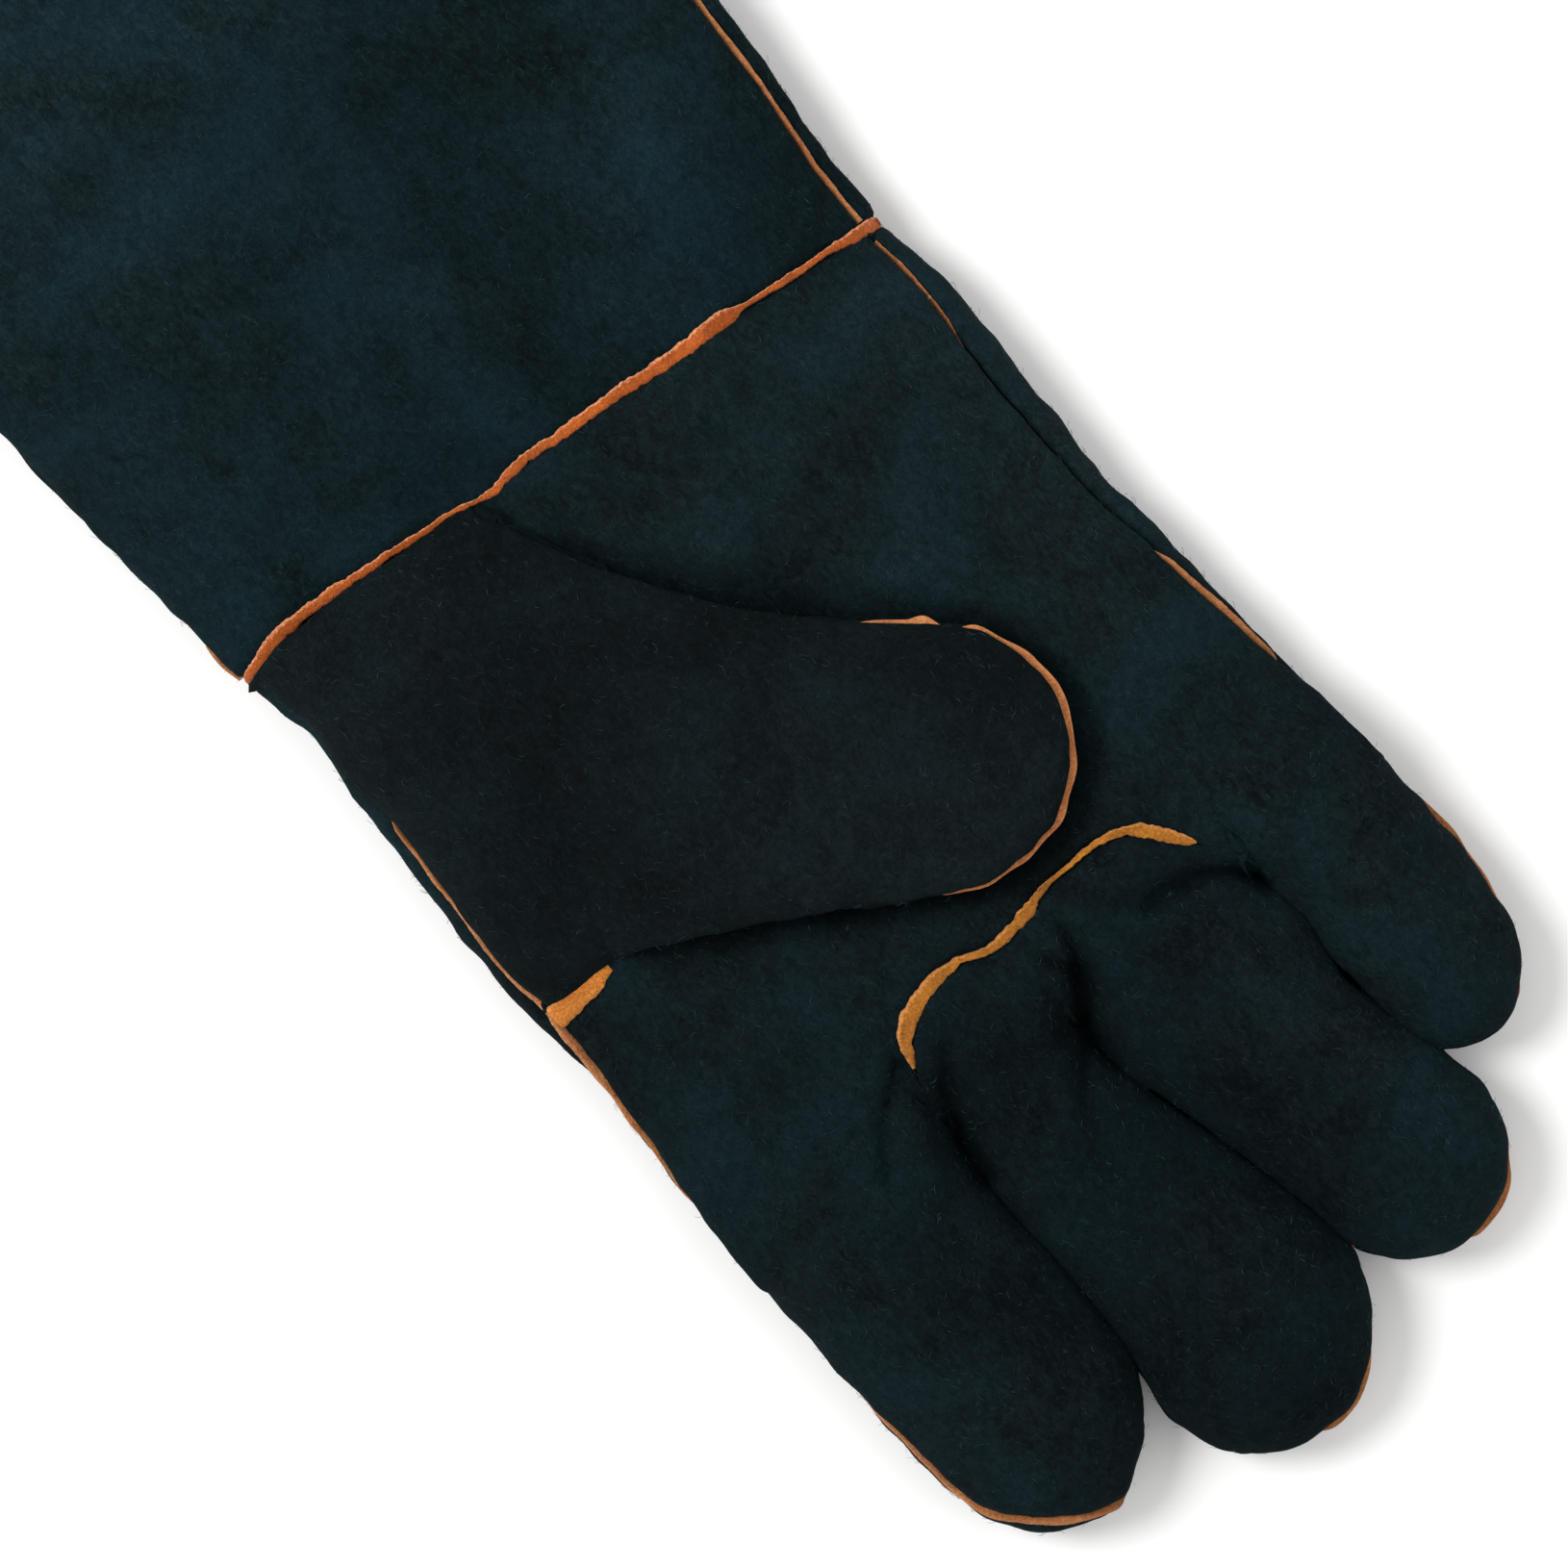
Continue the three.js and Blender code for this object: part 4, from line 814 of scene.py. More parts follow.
def makeSuede(name, look):
    material, tree = newMaterial(name)
    place = addNode(tree, "ShaderNodeTexCoord").outputs["Object"]

    def grain(size, low, high, at=place, least=0.0, most=1.0, **more):
        field = addNode(tree, "ShaderNodeTexNoise", Vector=at, Scale=1 / size, **more).outputs["Fac"]
        return field, addNode(tree, "ShaderNodeMapRange", Value=field, From_Min=low, From_Max=high,
                              To_Min=least, To_Max=most).outputs[0]

    def blend(share, one, two, kind="MIX"):
        return addNode(tree, "ShaderNodeMix", {"data_type": "RGBA", "blend_type": kind},
                       {0: share, 6: one, 7: two}).outputs[2]

    def grey(value):
        return addNode(tree, "ShaderNodeCombineColor", Red=value, Green=value, Blue=value).outputs[0]

    def shadeOver(value, start, end, most):
        return grey(addNode(tree, "ShaderNodeMapRange", Value=value, From_Min=start, From_Max=end,
                            To_Min=1.0,
                            To_Max=most).outputs[0])

    combed = addNode(tree, "ShaderNodeMapping", Vector=place, Rotation=(0, 0, 0.5), Scale=(1, 0.55, 1))
    _, patch = grain(look["patch"], 0.4, 0.66, Detail=4.0, Roughness=0.6, Distortion=0.5)
    lie, lieStep = grain(look["lie"], 0.24, 0.72, Detail=3.0, Roughness=0.55, Distortion=0.5)
    _, mottle = grain(look["mottle"], 0.3, 0.7, least=0.76, most=1.06, Detail=3.0, Roughness=0.6,
                      Distortion=0.6)
    _, hide = grain(look["hide"], 0.36, 0.64, least=0.78, most=1.24, Detail=3.0, Roughness=0.5,
                    Distortion=0.4)
    stroke, strokeStep = grain(look["stroke"], 0.36, 0.7, combed.outputs[0], most=0.34, Detail=2.0,
                               Distortion=1.2)
    tuft, tuftStep = grain(look["tuft"], 0.3, 0.75, Detail=2.0, Roughness=0.65, Distortion=1.4)
    ground = blend(lieStep, toLinear(look["dark"]), toLinear(look["mid"]))
    dyed = blend(patch, ground, toLinear(look["navy"]))
    brushed = blend(strokeStep, dyed, toLinear(look["light"]))
    mottled = blend(1.0, blend(1.0, brushed, grey(mottle), "MULTIPLY"), grey(hide), "MULTIPLY")
    tufted = blend(0.45, mottled, grey(tuftStep), "MULTIPLY")
    axes = addNode(tree, "ShaderNodeSeparateXYZ", Vector=place)
    ends = blend(1.0, tufted, shadeOver(axes.outputs[1], *look["along"]), "MULTIPLY")
    # painted light: paler towards the little finger's side, as if lit more strongly there
    sides = blend(1.0, ends, shadeOver(axes.outputs[0], *look["across"]), "MULTIPLY")
    # painted shade: the colour is darkened, down to 0.3 of itself, by each point's share of painted shade in
    # the folds and beside the thumb
    paintedShade = addNode(tree, "ShaderNodeAttribute", {"attribute_name": "paintedShade"}).outputs["Fac"]
    shaded = blend(1.0, sides, shadeOver(paintedShade, 0.0, 1.0, 0.3), "MULTIPLY")
    tuftBump = addNode(tree, "ShaderNodeBump", Height=tuft, Strength=0.6, Distance=0.0006)
    strokeBump = addNode(tree, "ShaderNodeBump", Height=stroke, Strength=0.35, Distance=0.0008,
                         Normal=tuftBump.outputs[0])
    lieBump = addNode(tree, "ShaderNodeBump", Height=lie, Strength=0.25, Distance=0.0018,
                      Normal=strokeBump.outputs[0])
    shader = addNode(tree, "ShaderNodeBsdfPrincipled", Base_Color=shaded, Roughness=0.95, IOR=1.4,
                     Sheen_Weight=0.04, Sheen_Roughness=0.5, Specular_IOR_Level=0.04,
                     Sheen_Tint=toLinear("#4a6a70"), Normal=lieBump.outputs[0])
    addNode(tree, "ShaderNodeOutputMaterial", Surface=shader.outputs[0])
    return material


# Orange split-leather strip: dyed flesh with a paler, slightly fuzzy fold along one edge. Sizes of the
# pattern: fibres 0.6 mm, blotches of dye 7 mm.
weltLook = {"deep": "#8a4114", "dye": "#a65220", "fold": "#cb8760", "fibre": 0.0006, "patch": 0.007}


def makeWelt(name, look):
    material, tree = newMaterial(name)
    place = addNode(tree, "ShaderNodeTexCoord").outputs["Object"]
    patch = addNode(tree, "ShaderNodeTexNoise", Vector=place, Scale=1 / look["patch"],
                    Detail=3.0).outputs["Fac"]
    fibre = addNode(tree, "ShaderNodeTexNoise", Vector=place, Scale=1 / look["fibre"], Detail=3.0,
                    Roughness=0.6, Distortion=1.0).outputs["Fac"]
    patchStep = addNode(tree, "ShaderNodeMapRange", Value=patch, From_Min=0.35, From_Max=0.65)
    base = addNode(tree, "ShaderNodeMix", {"data_type": "RGBA"},
                   {0: patchStep.outputs[0], 6: toLinear(look["deep"]), 7: toLinear(look["dye"])})
    strip = addNode(tree, "ShaderNodeUVMap", {"uv_map": "strip"}).outputs[0]
    across = addNode(tree, "ShaderNodeSeparateXYZ", Vector=strip).outputs[1]
    frayed = addNode(tree, "ShaderNodeMath", {"operation": "MULTIPLY_ADD"}, {0: fibre, 1: 0.35, 2: across})
    foldStep = addNode(tree, "ShaderNodeMapRange", Value=frayed.outputs[0], From_Min=0.8, From_Max=0.95)
    folded = addNode(tree, "ShaderNodeMix", {"data_type": "RGBA"},
                     {0: foldStep.outputs[0], 6: base.outputs[2], 7: toLinear(look["fold"])})
    speck = addNode(tree, "ShaderNodeMapRange", Value=fibre, From_Min=0.32, From_Max=0.62, To_Min=0.82,
                    To_Max=1.42).outputs[0]
    specks = addNode(tree, "ShaderNodeCombineColor", Red=speck, Green=speck, Blue=speck).outputs[0]
    grained = addNode(tree, "ShaderNodeMix", {"data_type": "RGBA", "blend_type": "MULTIPLY"},
                      {0: 1.0, 6: folded.outputs[2], 7: specks})
    bump = addNode(tree, "ShaderNodeBump", Height=fibre, Strength=0.9, Distance=0.0006)
    shader = addNode(tree, "ShaderNodeBsdfPrincipled", Base_Color=grained.outputs[2], Roughness=0.9,
                     IOR=1.45, Sheen_Weight=0.08, Sheen_Roughness=0.5, Specular_IOR_Level=0.15,
                     Normal=bump.outputs[0])
    addNode(tree, "ShaderNodeOutputMaterial", Surface=shader.outputs[0])
    return material


cuffSuede = makeSuede("brushed split leather, dark teal", suedeLook)
# painted light on the hand as well: the little finger's side painted paler
handSuede = makeSuede("brushed split leather, greyer teal",
                      {**suedeLook, "dark": "#0c1213", "mid": "#161f22", "navy": "#15262b",
                       "light": "#233639",
                       "along": (0.0, 0.12, 0.62), "across": (0.01, -0.05, 1.22)})
thumbSuede = makeSuede("brushed split leather, thumb cut from a darker hide",
                       {**suedeLook, "dark": "#0a0e0f", "mid": "#101517", "navy": "#10191c",
                        "light": "#1a2527", "along": (0.0, 0.08, 1.15), "across": (0.0, 0.1, 1.0)})
suedes = {"cuff": cuffSuede, "hand": handSuede, "palm": handSuede, "middle": handSuede, "thumb": thumbSuede}
orangeSplit = makeWelt("orange split leather welt", weltLook)
amberSplit = makeWelt("amber split leather welt",
                      {**weltLook, "deep": "#84501a", "dye": "#aa6a20", "fold": "#bd7d40"})
brightSplit = makeWelt("bright orange split leather welt",
                       {**weltLook, "deep": "#96561c", "dye": "#b86f2a", "fold": "#c68246"})
paleSplit = makeWelt("faded split leather welt", {**weltLook, "deep": "#8f5730", "dye": "#a66c42",
                                                  "fold": "#cf9f7e"})
rosySplit = makeWelt("pale orange split leather welt", {**weltLook, "deep": "#a8643a", "dye": "#bd7a4a",
                                                        "fold": "#d9a684"})

# Loose fibres of the nap, lying on the leather this way and that and catching the light. They are drawn
# 0.07 mm thick, coarser than real ones, so that they show.
napFibres = {"perSquareMetre": 170000, "length": (0.0007, 0.0024), "thick": 0.00007, "lift": 0.35,
             "low": "#142326", "high": "#3b5459"}
chance = np.random.default_rng(7)
napRoots, napWays = [], []


def sowNap(piece):
    # places for fibres, spread evenly over the leather's outside, with the way out of it
    faces = piece.data.polygons
    areas, centres, ways = np.empty(len(faces)), np.empty(3 * len(faces)), np.empty(3 * len(faces))
    faces.foreach_get("area", areas)
    faces.foreach_get("center", centres)
    faces.foreach_get("normal", ways)
    centres, ways = centres.reshape(-1, 3), ways.reshape(-1, 3)
    areas = areas * np.where(ways[:, 2] > -0.3, 1.0, 0.0) * (centres[:, 2] > 0.002)
    picked = chance.choice(len(faces), int(areas.sum() * napFibres["perSquareMetre"]), p=areas / areas.sum())
    napRoots.append(centres[picked] + chance.normal(0, 0.0002, (len(picked), 3))
                    * (1 - np.abs(ways[picked])))
    napWays.append(ways[picked])


def makeNap():
    roots, ways = np.concatenate(napRoots), np.concatenate(napWays)
    count = len(roots)
    comb = np.array([0.45, -0.9, 0]) + chance.normal(0, 0.75, (count, 3))
    along = comb - ways * np.sum(comb * ways, axis=1, keepdims=True)
    along /= np.linalg.norm(along, axis=1, keepdims=True)
    side = np.cross(ways, along)
    length = chance.uniform(*napFibres["length"], (count, 1))
    curl = chance.normal(0, 0.35, (count, 1))
    lift = np.abs(chance.normal(0, napFibres["lift"], (count, 1)))
    start = roots - ways * 0.0001
    knee = start + (along + side * curl * 0.3 + ways * lift) * length * 0.4
    bend = start + (along + side * curl * 0.8 + ways * lift * 0.9) * length * 0.75
    tip = start + (along * 0.95 + side * curl * 1.5 + ways * lift * 0.6) * length
    rows = [start]
    for centre in (knee, bend):
        for turn in (0, 2.094, 4.189):
            rows.append(centre + (side * math.cos(turn) + ways * math.sin(turn)) * napFibres["thick"] / 2)
    rows.append(tip)
    points = np.stack(rows, 1).reshape(-1, 3)
    points[:, 2] = np.maximum(points[:, 2], 0.0001)
    one = [(0, 2, 1), (0, 3, 2), (0, 1, 3), (1, 2, 5, 4), (2, 3, 6, 5), (3, 1, 4, 6),
           (4, 5, 7), (5, 6, 7), (6, 4, 7)]
    faces = [tuple(8 * i + k for k in face) for i in range(count) for face in one]
    mesh = bpy.data.meshes.new("nap_fibres")
    mesh.from_pydata(points.tolist(), [], faces)
    mesh.shade_smooth()
    piece = bpy.data.objects.new("nap_fibres", mesh)
    bpy.context.scene.collection.objects.link(piece)
    return piece


def makeFibreLook():
    # single split fibres: the same dye, mixed from a darker and a paler teal from place to place
    material, tree = newMaterial("loose suede fibres")
    place = addNode(tree, "ShaderNodeTexCoord").outputs["Object"]
    field = addNode(tree, "ShaderNodeTexNoise", Vector=place, Scale=1 / 0.0025, Detail=1.0).outputs["Fac"]
    share = addNode(tree, "ShaderNodeMapRange", Value=field, From_Min=0.35, From_Max=0.75)
    colour = addNode(tree, "ShaderNodeMix", {"data_type": "RGBA"},
                     {0: share.outputs[0], 6: toLinear(napFibres["low"]), 7: toLinear(napFibres["high"])})
    shader = addNode(tree, "ShaderNodeBsdfPrincipled", Base_Color=colour.outputs[2], Roughness=0.9,
                     Specular_IOR_Level=0.1)
    addNode(tree, "ShaderNodeOutputMaterial", Surface=shader.outputs[0])
    return material


thumbRim = np.concatenate([[freeLine(rib, np.array([side]), True)[0] for rib in freeStops()[8::2]]
                           for side in (-1.0, 1.0)] +
                          [freeLine(freeStops()[-1], acrossSteps(thumbColumns), True)])[:, :2]


def paintFoldShade(piece):
    # painted shade: the colour is darkened in the folds and beside the thumb, where shade falls; each point's
    # share of that
    count = len(piece.data.vertices)
    places = np.empty(3 * count)
    piece.data.vertices.foreach_get("co", places)
    places = places.reshape(-1, 3)[:, :2] * 1000 - np.array(glove["centre"])
    folded = np.clip((foldDepth(places[:, 0], places[:, 1]) - 1.4) / 3.0, 0, 1)
    beside = np.full(count, 1e9)
    for spot in thumbRim:
        beside = np.minimum(beside, np.hypot(places[:, 0] - spot[0], places[:, 1] - spot[1]))
    paintedShade = np.maximum(folded, 0.75 * np.exp(-((beside / 4.5) ** 2)))
    layer = piece.data.attributes.new("paintedShade", "FLOAT", "POINT")
    layer.data.foreach_set("value", paintedShade.astype(np.float32))


for cut in leatherPieces:
    piece = cut["make"]()
    undulate(piece)
    rollSeams(piece)
    sowNap(piece)
    # painted shade in the folds and beside the thumb, on the palm and the middle fingers' fronts
    if cut["node"] in ("palm_panel", "middle_fingers_front"):
        paintFoldShade(piece)
    finishLeather(piece)
    piece.data.materials.append(suedes[cut["node"].split("_")[0]])
    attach(piece, "root")
    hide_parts(cut["node"])
    print("gauntlet:", piece.name, len(piece.data.polygons), "faces")

nap = makeNap()
nap.data.materials.append(makeFibreLook())
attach(nap, "root")
print("gauntlet: nap", len(nap.data.polygons), "faces")

# Welts. Each is a strip of leather along a line of stops: place, way out of the leather, width across
# the seam and how far it stands out.


def resample(points, outs, step):
    lengths = np.concatenate([[0], np.cumsum(np.linalg.norm(np.diff(points, axis=0), axis=1))])
    count = max(int(lengths[-1] / step), 4)
    at = np.linspace(0, lengths[-1], count + 1)
    place = np.stack([np.interp(at, lengths, points[:, k]) for k in range(3)], -1)
    out = np.stack([np.interp(at, lengths, outs[:, k]) for k in range(3)], -1)
    out /= np.linalg.norm(out, axis=1, keepdims=True)
    return place, out, at


def weltStrip(name, points, outs, widths, shows, fold=1, seed=0, dye=None, shift=0):
    # widths and shows are tables over the strip's length from 0 to 1; fold is the side of its pale edge
    place, out, at = resample(np.asarray(points, float), np.asarray(outs, float), 0.3)
    share = at / at[-1]
    along = np.gradient(place, axis=0)
    along /= np.linalg.norm(along, axis=1, keepdims=True)
    out = out - along * np.sum(out * along, axis=1, keepdims=True)
    out /= np.linalg.norm(out, axis=1, keepdims=True)
    side = np.cross(along, out)
    for i, (spot, way) in enumerate(zip(toMetres(place), out)):
        place[i] += np.array(unevenness(Vector(spot), Vector(way))) * 1000  # as the leather beside it
    wander = np.array([noise.noise((s / 8.0, seed * 3.1, 0.4)) for s in at])
    ragged = np.array([[noise.noise((s / 2.3, seed * 1.7 + k * 5.3, 2.2)) +
                        0.7 * noise.noise((s / 0.9, seed * 2.9 + k * 3.7, 5.1))
                        for k in (0, 1)] for s in at])
    width = np.array([readTable(widths, 1, s) for s in share])
    show = np.array([readTable(shows, 1, s) for s in share])
    half = width / 2
    rows = []
    section = [(-1, -2.4), (-1, -0.55), (-0.86, -0.16), (-0.45, 0.0), (0.0, 0.02), (0.5, 0.1), (0.85, -0.05),
               (1, -0.5), (1, -2.4)]
    for across, up in section:
        edge = np.where(across < 0, ragged[:, 0], ragged[:, 1]) * 0.42 * abs(across)
        reach = half * across + edge * np.clip(half, 0.4, 1.0) + wander * 0.5 + shift
        height = show + up * np.minimum(np.maximum(half, 0.5), 1.0) if up > -1 else np.full(len(at), up)
        height = np.minimum(height, show + 0.15)
        rows.append(place + side * (reach * fold)[:, None] + out * height[:, None])
    grid = np.stack(rows, 1)
    count, around = grid.shape[:2]
    points = grid.reshape(-1, 3)
    points[:, 2] = np.maximum(points[:, 2], 0.02)
    faces = []
    for i in range(count - 1):
        for k in range(around):
            a, b = i * around + k, i * around + (k + 1) % around
            faces.append((a, b, b + around, a + around) if fold > 0 else (a, a + around, b + around, b))
    first, last = tuple(range(around)), tuple(range((count - 1) * around, count * around))
    faces += [first[::-1], last] if fold > 0 else [first, last[::-1]]
    mesh = bpy.data.meshes.new(name)
    mesh.from_pydata(toMetres(points).tolist(), [], faces)
    mesh.validate()
    layer = mesh.uv_layers.new(name="strip")
    for loop in mesh.loops:
        i, k = divmod(loop.vertex_index, around)
        layer.data[loop.index].uv = (at[i] * 0.001, k / (around - 1))
    piece = bpy.data.objects.new(name, mesh)
    bpy.context.scene.collection.objects.link(piece)
    shell = bmesh.new()
    shell.from_mesh(mesh)
    bmesh.ops.recalc_face_normals(shell, faces=shell.faces)
    shell.to_mesh(mesh)
    shell.free()
    bpy.ops.object.select_all(action="DESELECT")
    piece.select_set(True)
    bpy.context.view_layer.objects.active = piece
    bpy.ops.object.shade_smooth_by_angle(angle=math.radians(60))
    piece.data.materials.append(dye or orangeSplit)
    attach(piece, "root")
    return piece


def trimLine(points, outs, start, end):
    lengths = np.concatenate([[0], np.cumsum(np.linalg.norm(np.diff(points, axis=0), axis=1))])
    keep = (lengths >= start) & (lengths <= lengths[-1] - end)
    return points[keep], outs[keep]


def handSideLine(side):
    ys = []
    for row in range(0, handRows, 2):
        ys.append(handPlaces(row, True)[1][0 if side < 0 else -1])
    return sideSeam(np.array(ys), side)


def fingerRoundLine(f):
    # the seam round a finger, from its low side over the tip to its high side
    rows = [(row, np.array([-1.0])) for row in range(2, fingerRows + tipRows + 1, 2)]
    rows.append((fingerRows + tipRows, acrossSteps(fingers[f]["columns"] * detail)[1:-1]))
    rows += [(row, np.array([1.0])) for row in range(fingerRows + tipRows, 1, -2)]
    points = np.concatenate([fingerRow(f, row, across, True) for row, across in rows])
    r = np.concatenate([fingerPoints(f, row, across, 1)[2] for row, across in rows])
    along = np.gradient(points[:, :2], axis=0)
    along /= np.linalg.norm(along, axis=1, keepdims=True)
    steep = np.minimum(0.65 * (r / np.maximum(crown(r, 2.2), 0.02)) ** 1.2, 40)[:, None]
    outs = np.concatenate([-along[:, 1:] * steep, along[:, :1] * steep, np.ones((len(points), 1))], 1)
    return points, outs / np.linalg.norm(outs, axis=1, keepdims=True)


def joinLines(*lines):
    return np.concatenate([line[0] for line in lines]), np.concatenate([line[1] for line in lines])


def backwards(line):
    return line[0][::-1], line[1][::-1]


# Where a welt is hidden, the leather closes over it: it lies 2.3 mm down.
hidden = -2.3
welts = {}
littleLine = trimLine(*joinLines(handSideLine(-1), fingerRoundLine(0)), 1.5, 3)
welts["little_welt"] = weltStrip(
    "little_finger_welt", *littleLine, seed=1, fold=-1, dye=paleSplit,
    widths=[(0, 0.2), (0.04, 0.15), (0.09, 0.1), (0.3, 0.4), (0.35, 0.8), (0.4, 0.9), (0.44, 0.6),
            (0.66, 0.6),
            (1, 0.5)],
    shows=[(0, -0.8), (0.08, -1.1), (0.11, hidden), (0.3, hidden), (0.325, -0.4), (0.42, -0.2),
           (0.45, hidden),
           (0.54, hidden), (0.57, 0.0), (0.64, 0.2), (0.68, 0.0), (0.7, hidden), (0.73, -0.5), (0.75, -0.3),
           (0.78, hidden), (1, hidden)])
welts["ring_welt"] = weltStrip(
    "ring_finger_welt", *trimLine(*fingerRoundLine(1), 3, 3), seed=2, fold=-1, dye=paleSplit,
    widths=[(0, 0.5), (0.36, 0.7), (0.42, 1.1), (0.5, 0.9), (1, 0.5)],
    shows=[(0, hidden), (0.34, hidden), (0.38, 0.1), (0.49, 0.2), (0.53, hidden), (1, hidden)])
welts["middle_welt"] = weltStrip(
    "middle_finger_welt", *trimLine(*fingerRoundLine(2), 3, 3), seed=3, fold=-1, dye=paleSplit,
    widths=[(0, 0.5), (0.28, 0.9), (0.33, 0.9), (0.38, 0.6), (0.44, 0.9), (0.52, 0.8), (1, 0.5)],
    shows=[(0, hidden), (0.25, hidden), (0.27, 0.6), (0.31, 0.9), (0.33, hidden), (0.4, hidden), (0.42, 0.4),
           (0.5, 0.5), (0.54, hidden), (1, hidden)])
indexLine = trimLine(*joinLines(fingerRoundLine(3), backwards(handSideLine(1))), 3, 1.5)
welts["index_welt"] = weltStrip(
    "index_finger_welt", *indexLine, seed=4, fold=-1, dye=paleSplit,
    widths=[(0, 0.5), (0.22, 0.6), (0.27, 1.1), (0.36, 0.9), (0.42, 0.6), (0.46, 0.2), (0.57, 0.2), (0.64, 0.6),
            (0.7, 1.0),
            (0.8, 0.9), (0.88, 0.6), (0.95, 0.5), (1, 0.8)],
    shows=[(0, hidden), (0.21, hidden), (0.235, -0.2), (0.3, 0.1), (0.42, -0.2), (0.45, -0.8), (0.56, -0.8),
           (0.58, -0.4), (0.66, 0.0), (0.735, 0.5), (0.8, 0.2), (0.87, 0.0), (0.89, hidden), (1, hidden)])


def cuffSideLine(side):
    ys = np.linspace(-glove["cuffLength"], float(wristY(side * glove["halfPalm"])), 90)
    return sideSeam(ys, side)


cuffShows = {1: [(0, hidden), (0.93, hidden), (0.95, -0.1), (1, 0.2)],
             -1: [(0, -0.8), (0.5, -0.6), (0.85, -0.5), (1, -0.4)]}
for node, side in (("cuff_welt_thumb_side", 1), ("cuff_welt_little_side", -1)):
    welts[node] = weltStrip(
        node.replace("cuff_welt", "cuff_seam_welt"), *trimLine(*cuffSideLine(side), 0, 1.5), seed=5 + side,
        fold=side, dye=paleSplit, widths=[(0, 0.6), (0.5, 0.6), (1, 0.7)], shows=cuffShows[side])


def wristLine(upper):
    across = acrossSteps(150)
    x = np.zeros(len(across))
    for _ in range(4):
        line = outlineAt(wristY(x))
        x = line["middle"] + line["half"] * across
    y = wristY(x)
    line = outlineAt(y)
    z = palmTop(x, y, 0, False) if upper else underside(across, seamZ(y))
    z[[0, -1]] = seamZ(y)[[0, -1]]
    points = np.stack([x, y, z], -1)
    out = palmNormal(x, y) if upper else np.stack([across ** 5 * 3, 0 * x, -np.ones(len(x))], -1)
    out[0], out[-1] = (-1, 0, 0), (1, 0, 0)
    return points, out / np.linalg.norm(out, axis=1, keepdims=True)


welts["wrist_welt_palm"] = weltStrip(
    "wrist_seam_welt_front", *wristLine(True), seed=8,
    widths=[(0, 2.4), (0.05, 2.6), (0.09, 1.8), (0.12, 1.0), (0.16, 1.4), (0.2, 1.1), (0.23, 0.9),
            (0.25, 2.8),
            (0.33, 2.7), (0.45, 2.1), (0.52, 1.9), (0.58, 1.6), (0.63, 1.0), (0.66, 1.0), (0.71, 1.4),
            (0.78, 1.8), (0.86, 2.3), (0.93, 2.7), (1, 1.6)],
    shows=[(0, -0.9), (0.03, -0.3), (0.1, 0.1), (0.57, 0.1), (0.62, 1.0), (0.66, 0.6), (0.72, 0.2),
           (0.9, 0.1),
           (0.97, -0.2), (1, -0.9)])
welts["wrist_welt_back"] = weltStrip(
    "wrist_seam_welt_back", *wristLine(False), seed=9, fold=-1,
    widths=[(0, 1.8), (0.5, 1.6), (1, 1.8)], shows=[(0, -0.5), (0.05, -0.3), (0.95, -0.3), (1, -0.5)])


def fingerBaseLine():
    rows = [row for row in range(palmRows, handRows - detail // 2 + 1, 2)]
    up = {row: (palmRow(row) if row == palmRows else handRow(row, True)) for row in rows}
    left = [up[row][middleStart] for row in rows[1:]][::-1]
    right = [up[row][middleEnd] for row in rows[1:]]
    across = list(up[palmRows][middleStart:middleEnd + 1])
    points = np.array(left + across + right)
    outs = palmNormal(points[:, 0], points[:, 1])
    return points, outs


welts["finger_base_welt"] = weltStrip(
    "finger_base_seam_welt", *trimLine(*fingerBaseLine(), 16, 16.5), seed=10, dye=amberSplit,
    widths=[(0, 0.4), (0.03, 1.8), (0.06, 2.4), (0.14, 2.3), (0.22, 1.4), (0.34, 0.9), (0.42, 1.3), (0.48, 2.5),
            (0.54, 2.2),
            (0.6, 1.8), (0.67, 1.3), (0.76, 2.4), (0.86, 3.3), (0.94, 2.4), (1, 0.3)],
    shows=[(0, -0.1), (0.05, 0.2), (0.5, 0.2), (0.93, 0.2), (1, -0.2)])


def thumbRoundLine():
    stops = freeStops()[::2]

    def rail(across):
        line = np.array([freeLine(rib, np.array([across]), True)[0] for rib in stops])
        return line

    low, high = rail(-1.0), rail(1.0)
    tip = freeLine(stops[-1], acrossSteps(thumbColumns)[1:-1], True)
    points = np.concatenate([low, tip, high[::-1]])
    along = np.gradient(points[:, :2], axis=0)
    along /= np.maximum(np.linalg.norm(along, axis=1, keepdims=True), 1e-9)
    outs = np.stack([-along[:, 1], along[:, 0], np.zeros(len(points))], -1)
    return points, outs


welts["thumb_welt"] = weltStrip(
    "thumb_seam_welt", *trimLine(*thumbRoundLine(), 24, 24), seed=11, fold=-1, dye=rosySplit,
    widths=[(0, 0.4), (0.249, 0.5), (0.325, 0.8), (0.356, 1.1), (0.387, 0.6), (0.451, 1.1), (0.598, 1.0),
            (0.708, 0.6), (0.806, 0.3), (1, 0.3)],
    shows=[(0, hidden), (0.26, hidden), (0.286, -0.5), (0.336, 0.0), (0.354, 0.8), (0.369, -0.3),
           (0.381, -1.2), (0.407, 0.1), (0.477, 0.5), (0.603, 0.4), (0.704, 0.1), (0.794, -0.2),
           (0.817, hidden), (1, hidden)])


def thumbRootLine():
    places = np.array([heelPlaces(k / 40)[-1] for k in range(41)])
    x, y = places[:, 0], places[:, 1]
    return np.stack([x, y, palmTop(x, y, 0, False)], -1), palmNormal(x, y)


welts["thumb_root_welt"] = weltStrip(
    "thumb_root_seam_welt", *trimLine(*thumbRootLine(), 1, 0.5), seed=12, dye=brightSplit, shift=-1.5,
    widths=[(0, 1.4), (0.25, 4.0), (0.7, 5.0), (1, 4.4)], shows=[(0, 0.4), (0.2, 1.2), (1, 1.3)])

for node, piece in welts.items():
    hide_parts(node)
print("gauntlet: welts sewn in")

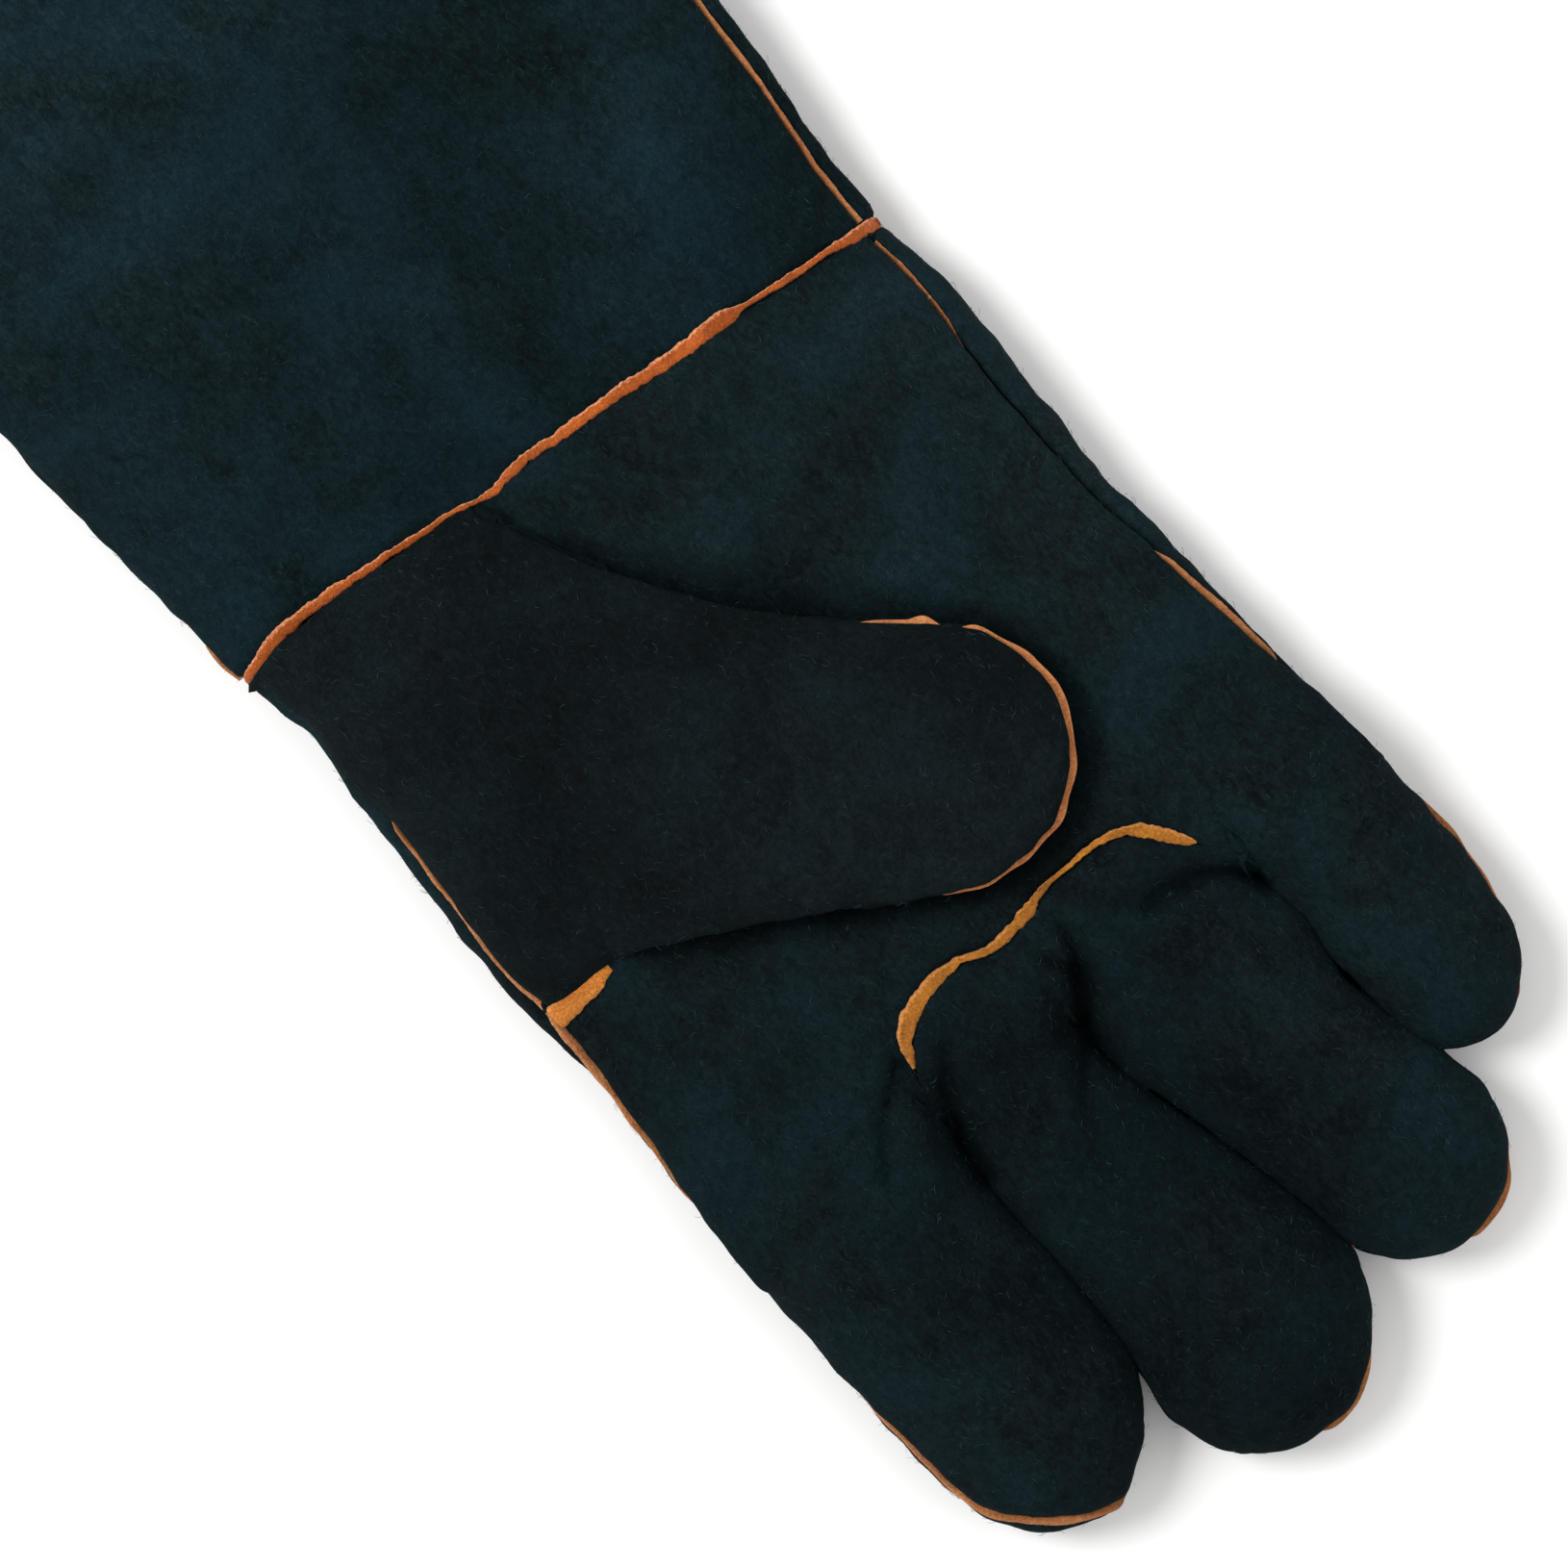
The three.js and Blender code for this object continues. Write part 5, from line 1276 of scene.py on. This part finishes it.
# Pale studio: floor, a large soft light overhead and an even white surround.
bpy.ops.object.select_all(action="DESELECT")
bpy.ops.mesh.primitive_plane_add(size=6, location=(0, 0, 0))
floor = bpy.context.active_object
floor.name = "studio_floor"
paper, paperTree = newMaterial("matt white paper")
paperShader = addNode(paperTree, "ShaderNodeBsdfPrincipled", Base_Color=toLinear("#f4f4f3"), Roughness=0.9)
addNode(paperTree, "ShaderNodeOutputMaterial", Surface=paperShader.outputs[0])
floor.data.materials.append(paper)

world = bpy.data.worlds.new("studio surround")
bpy.context.scene.world = world
world.use_nodes = True
world.node_tree.nodes["Background"].inputs[0].default_value = (1, 1, 1, 1)
world.node_tree.nodes["Background"].inputs[1].default_value = 0.8

studio = {
    "key": {"place": (0.5, -0.6, 1.2), "size": 0.6, "power": 14},
    "fill": {"place": (-0.8, 0.7, 1.2), "size": 1.2, "power": 2.5},
    "viewMiddle": (0.01072, 0.04618),  # what the photograph's centre looks at
    "viewWidth": 0.2825,
    "viewHeight": 1.15,
    "right": (-0.755, 0.656, 0.0),
    "up": (-0.656, -0.755, 0.0),
}
for name in ("key", "fill"):
    light = bpy.data.lights.new("soft " + name, "AREA")
    light.shape = "DISK"
    light.size = studio[name]["size"]
    light.energy = studio[name]["power"]
    lamp = bpy.data.objects.new("soft " + name, light)
    lamp.location = studio[name]["place"]
    aim = Vector((0.01, 0.04, 0)) - lamp.location
    lamp.rotation_euler = aim.to_track_quat("-Z", "Y").to_euler()
    bpy.context.scene.collection.objects.link(lamp)

lens = bpy.data.cameras.new("overhead camera")
lens.sensor_width = 36
lens.lens = 36 * (studio["viewHeight"] - 0.02) / studio["viewWidth"]
camera = bpy.data.objects.new("overhead camera", lens)
right, up = Vector(studio["right"]).normalized(), Vector(studio["up"]).normalized()
turn = Matrix((right, up, right.cross(up))).transposed()
camera.matrix_world = Matrix.Translation((*studio["viewMiddle"], studio["viewHeight"])) @ turn.to_4x4()
bpy.context.scene.collection.objects.link(camera)
bpy.context.scene.camera = camera
bpy.context.scene.view_settings.view_transform = "Standard"
print("gauntlet: studio set")
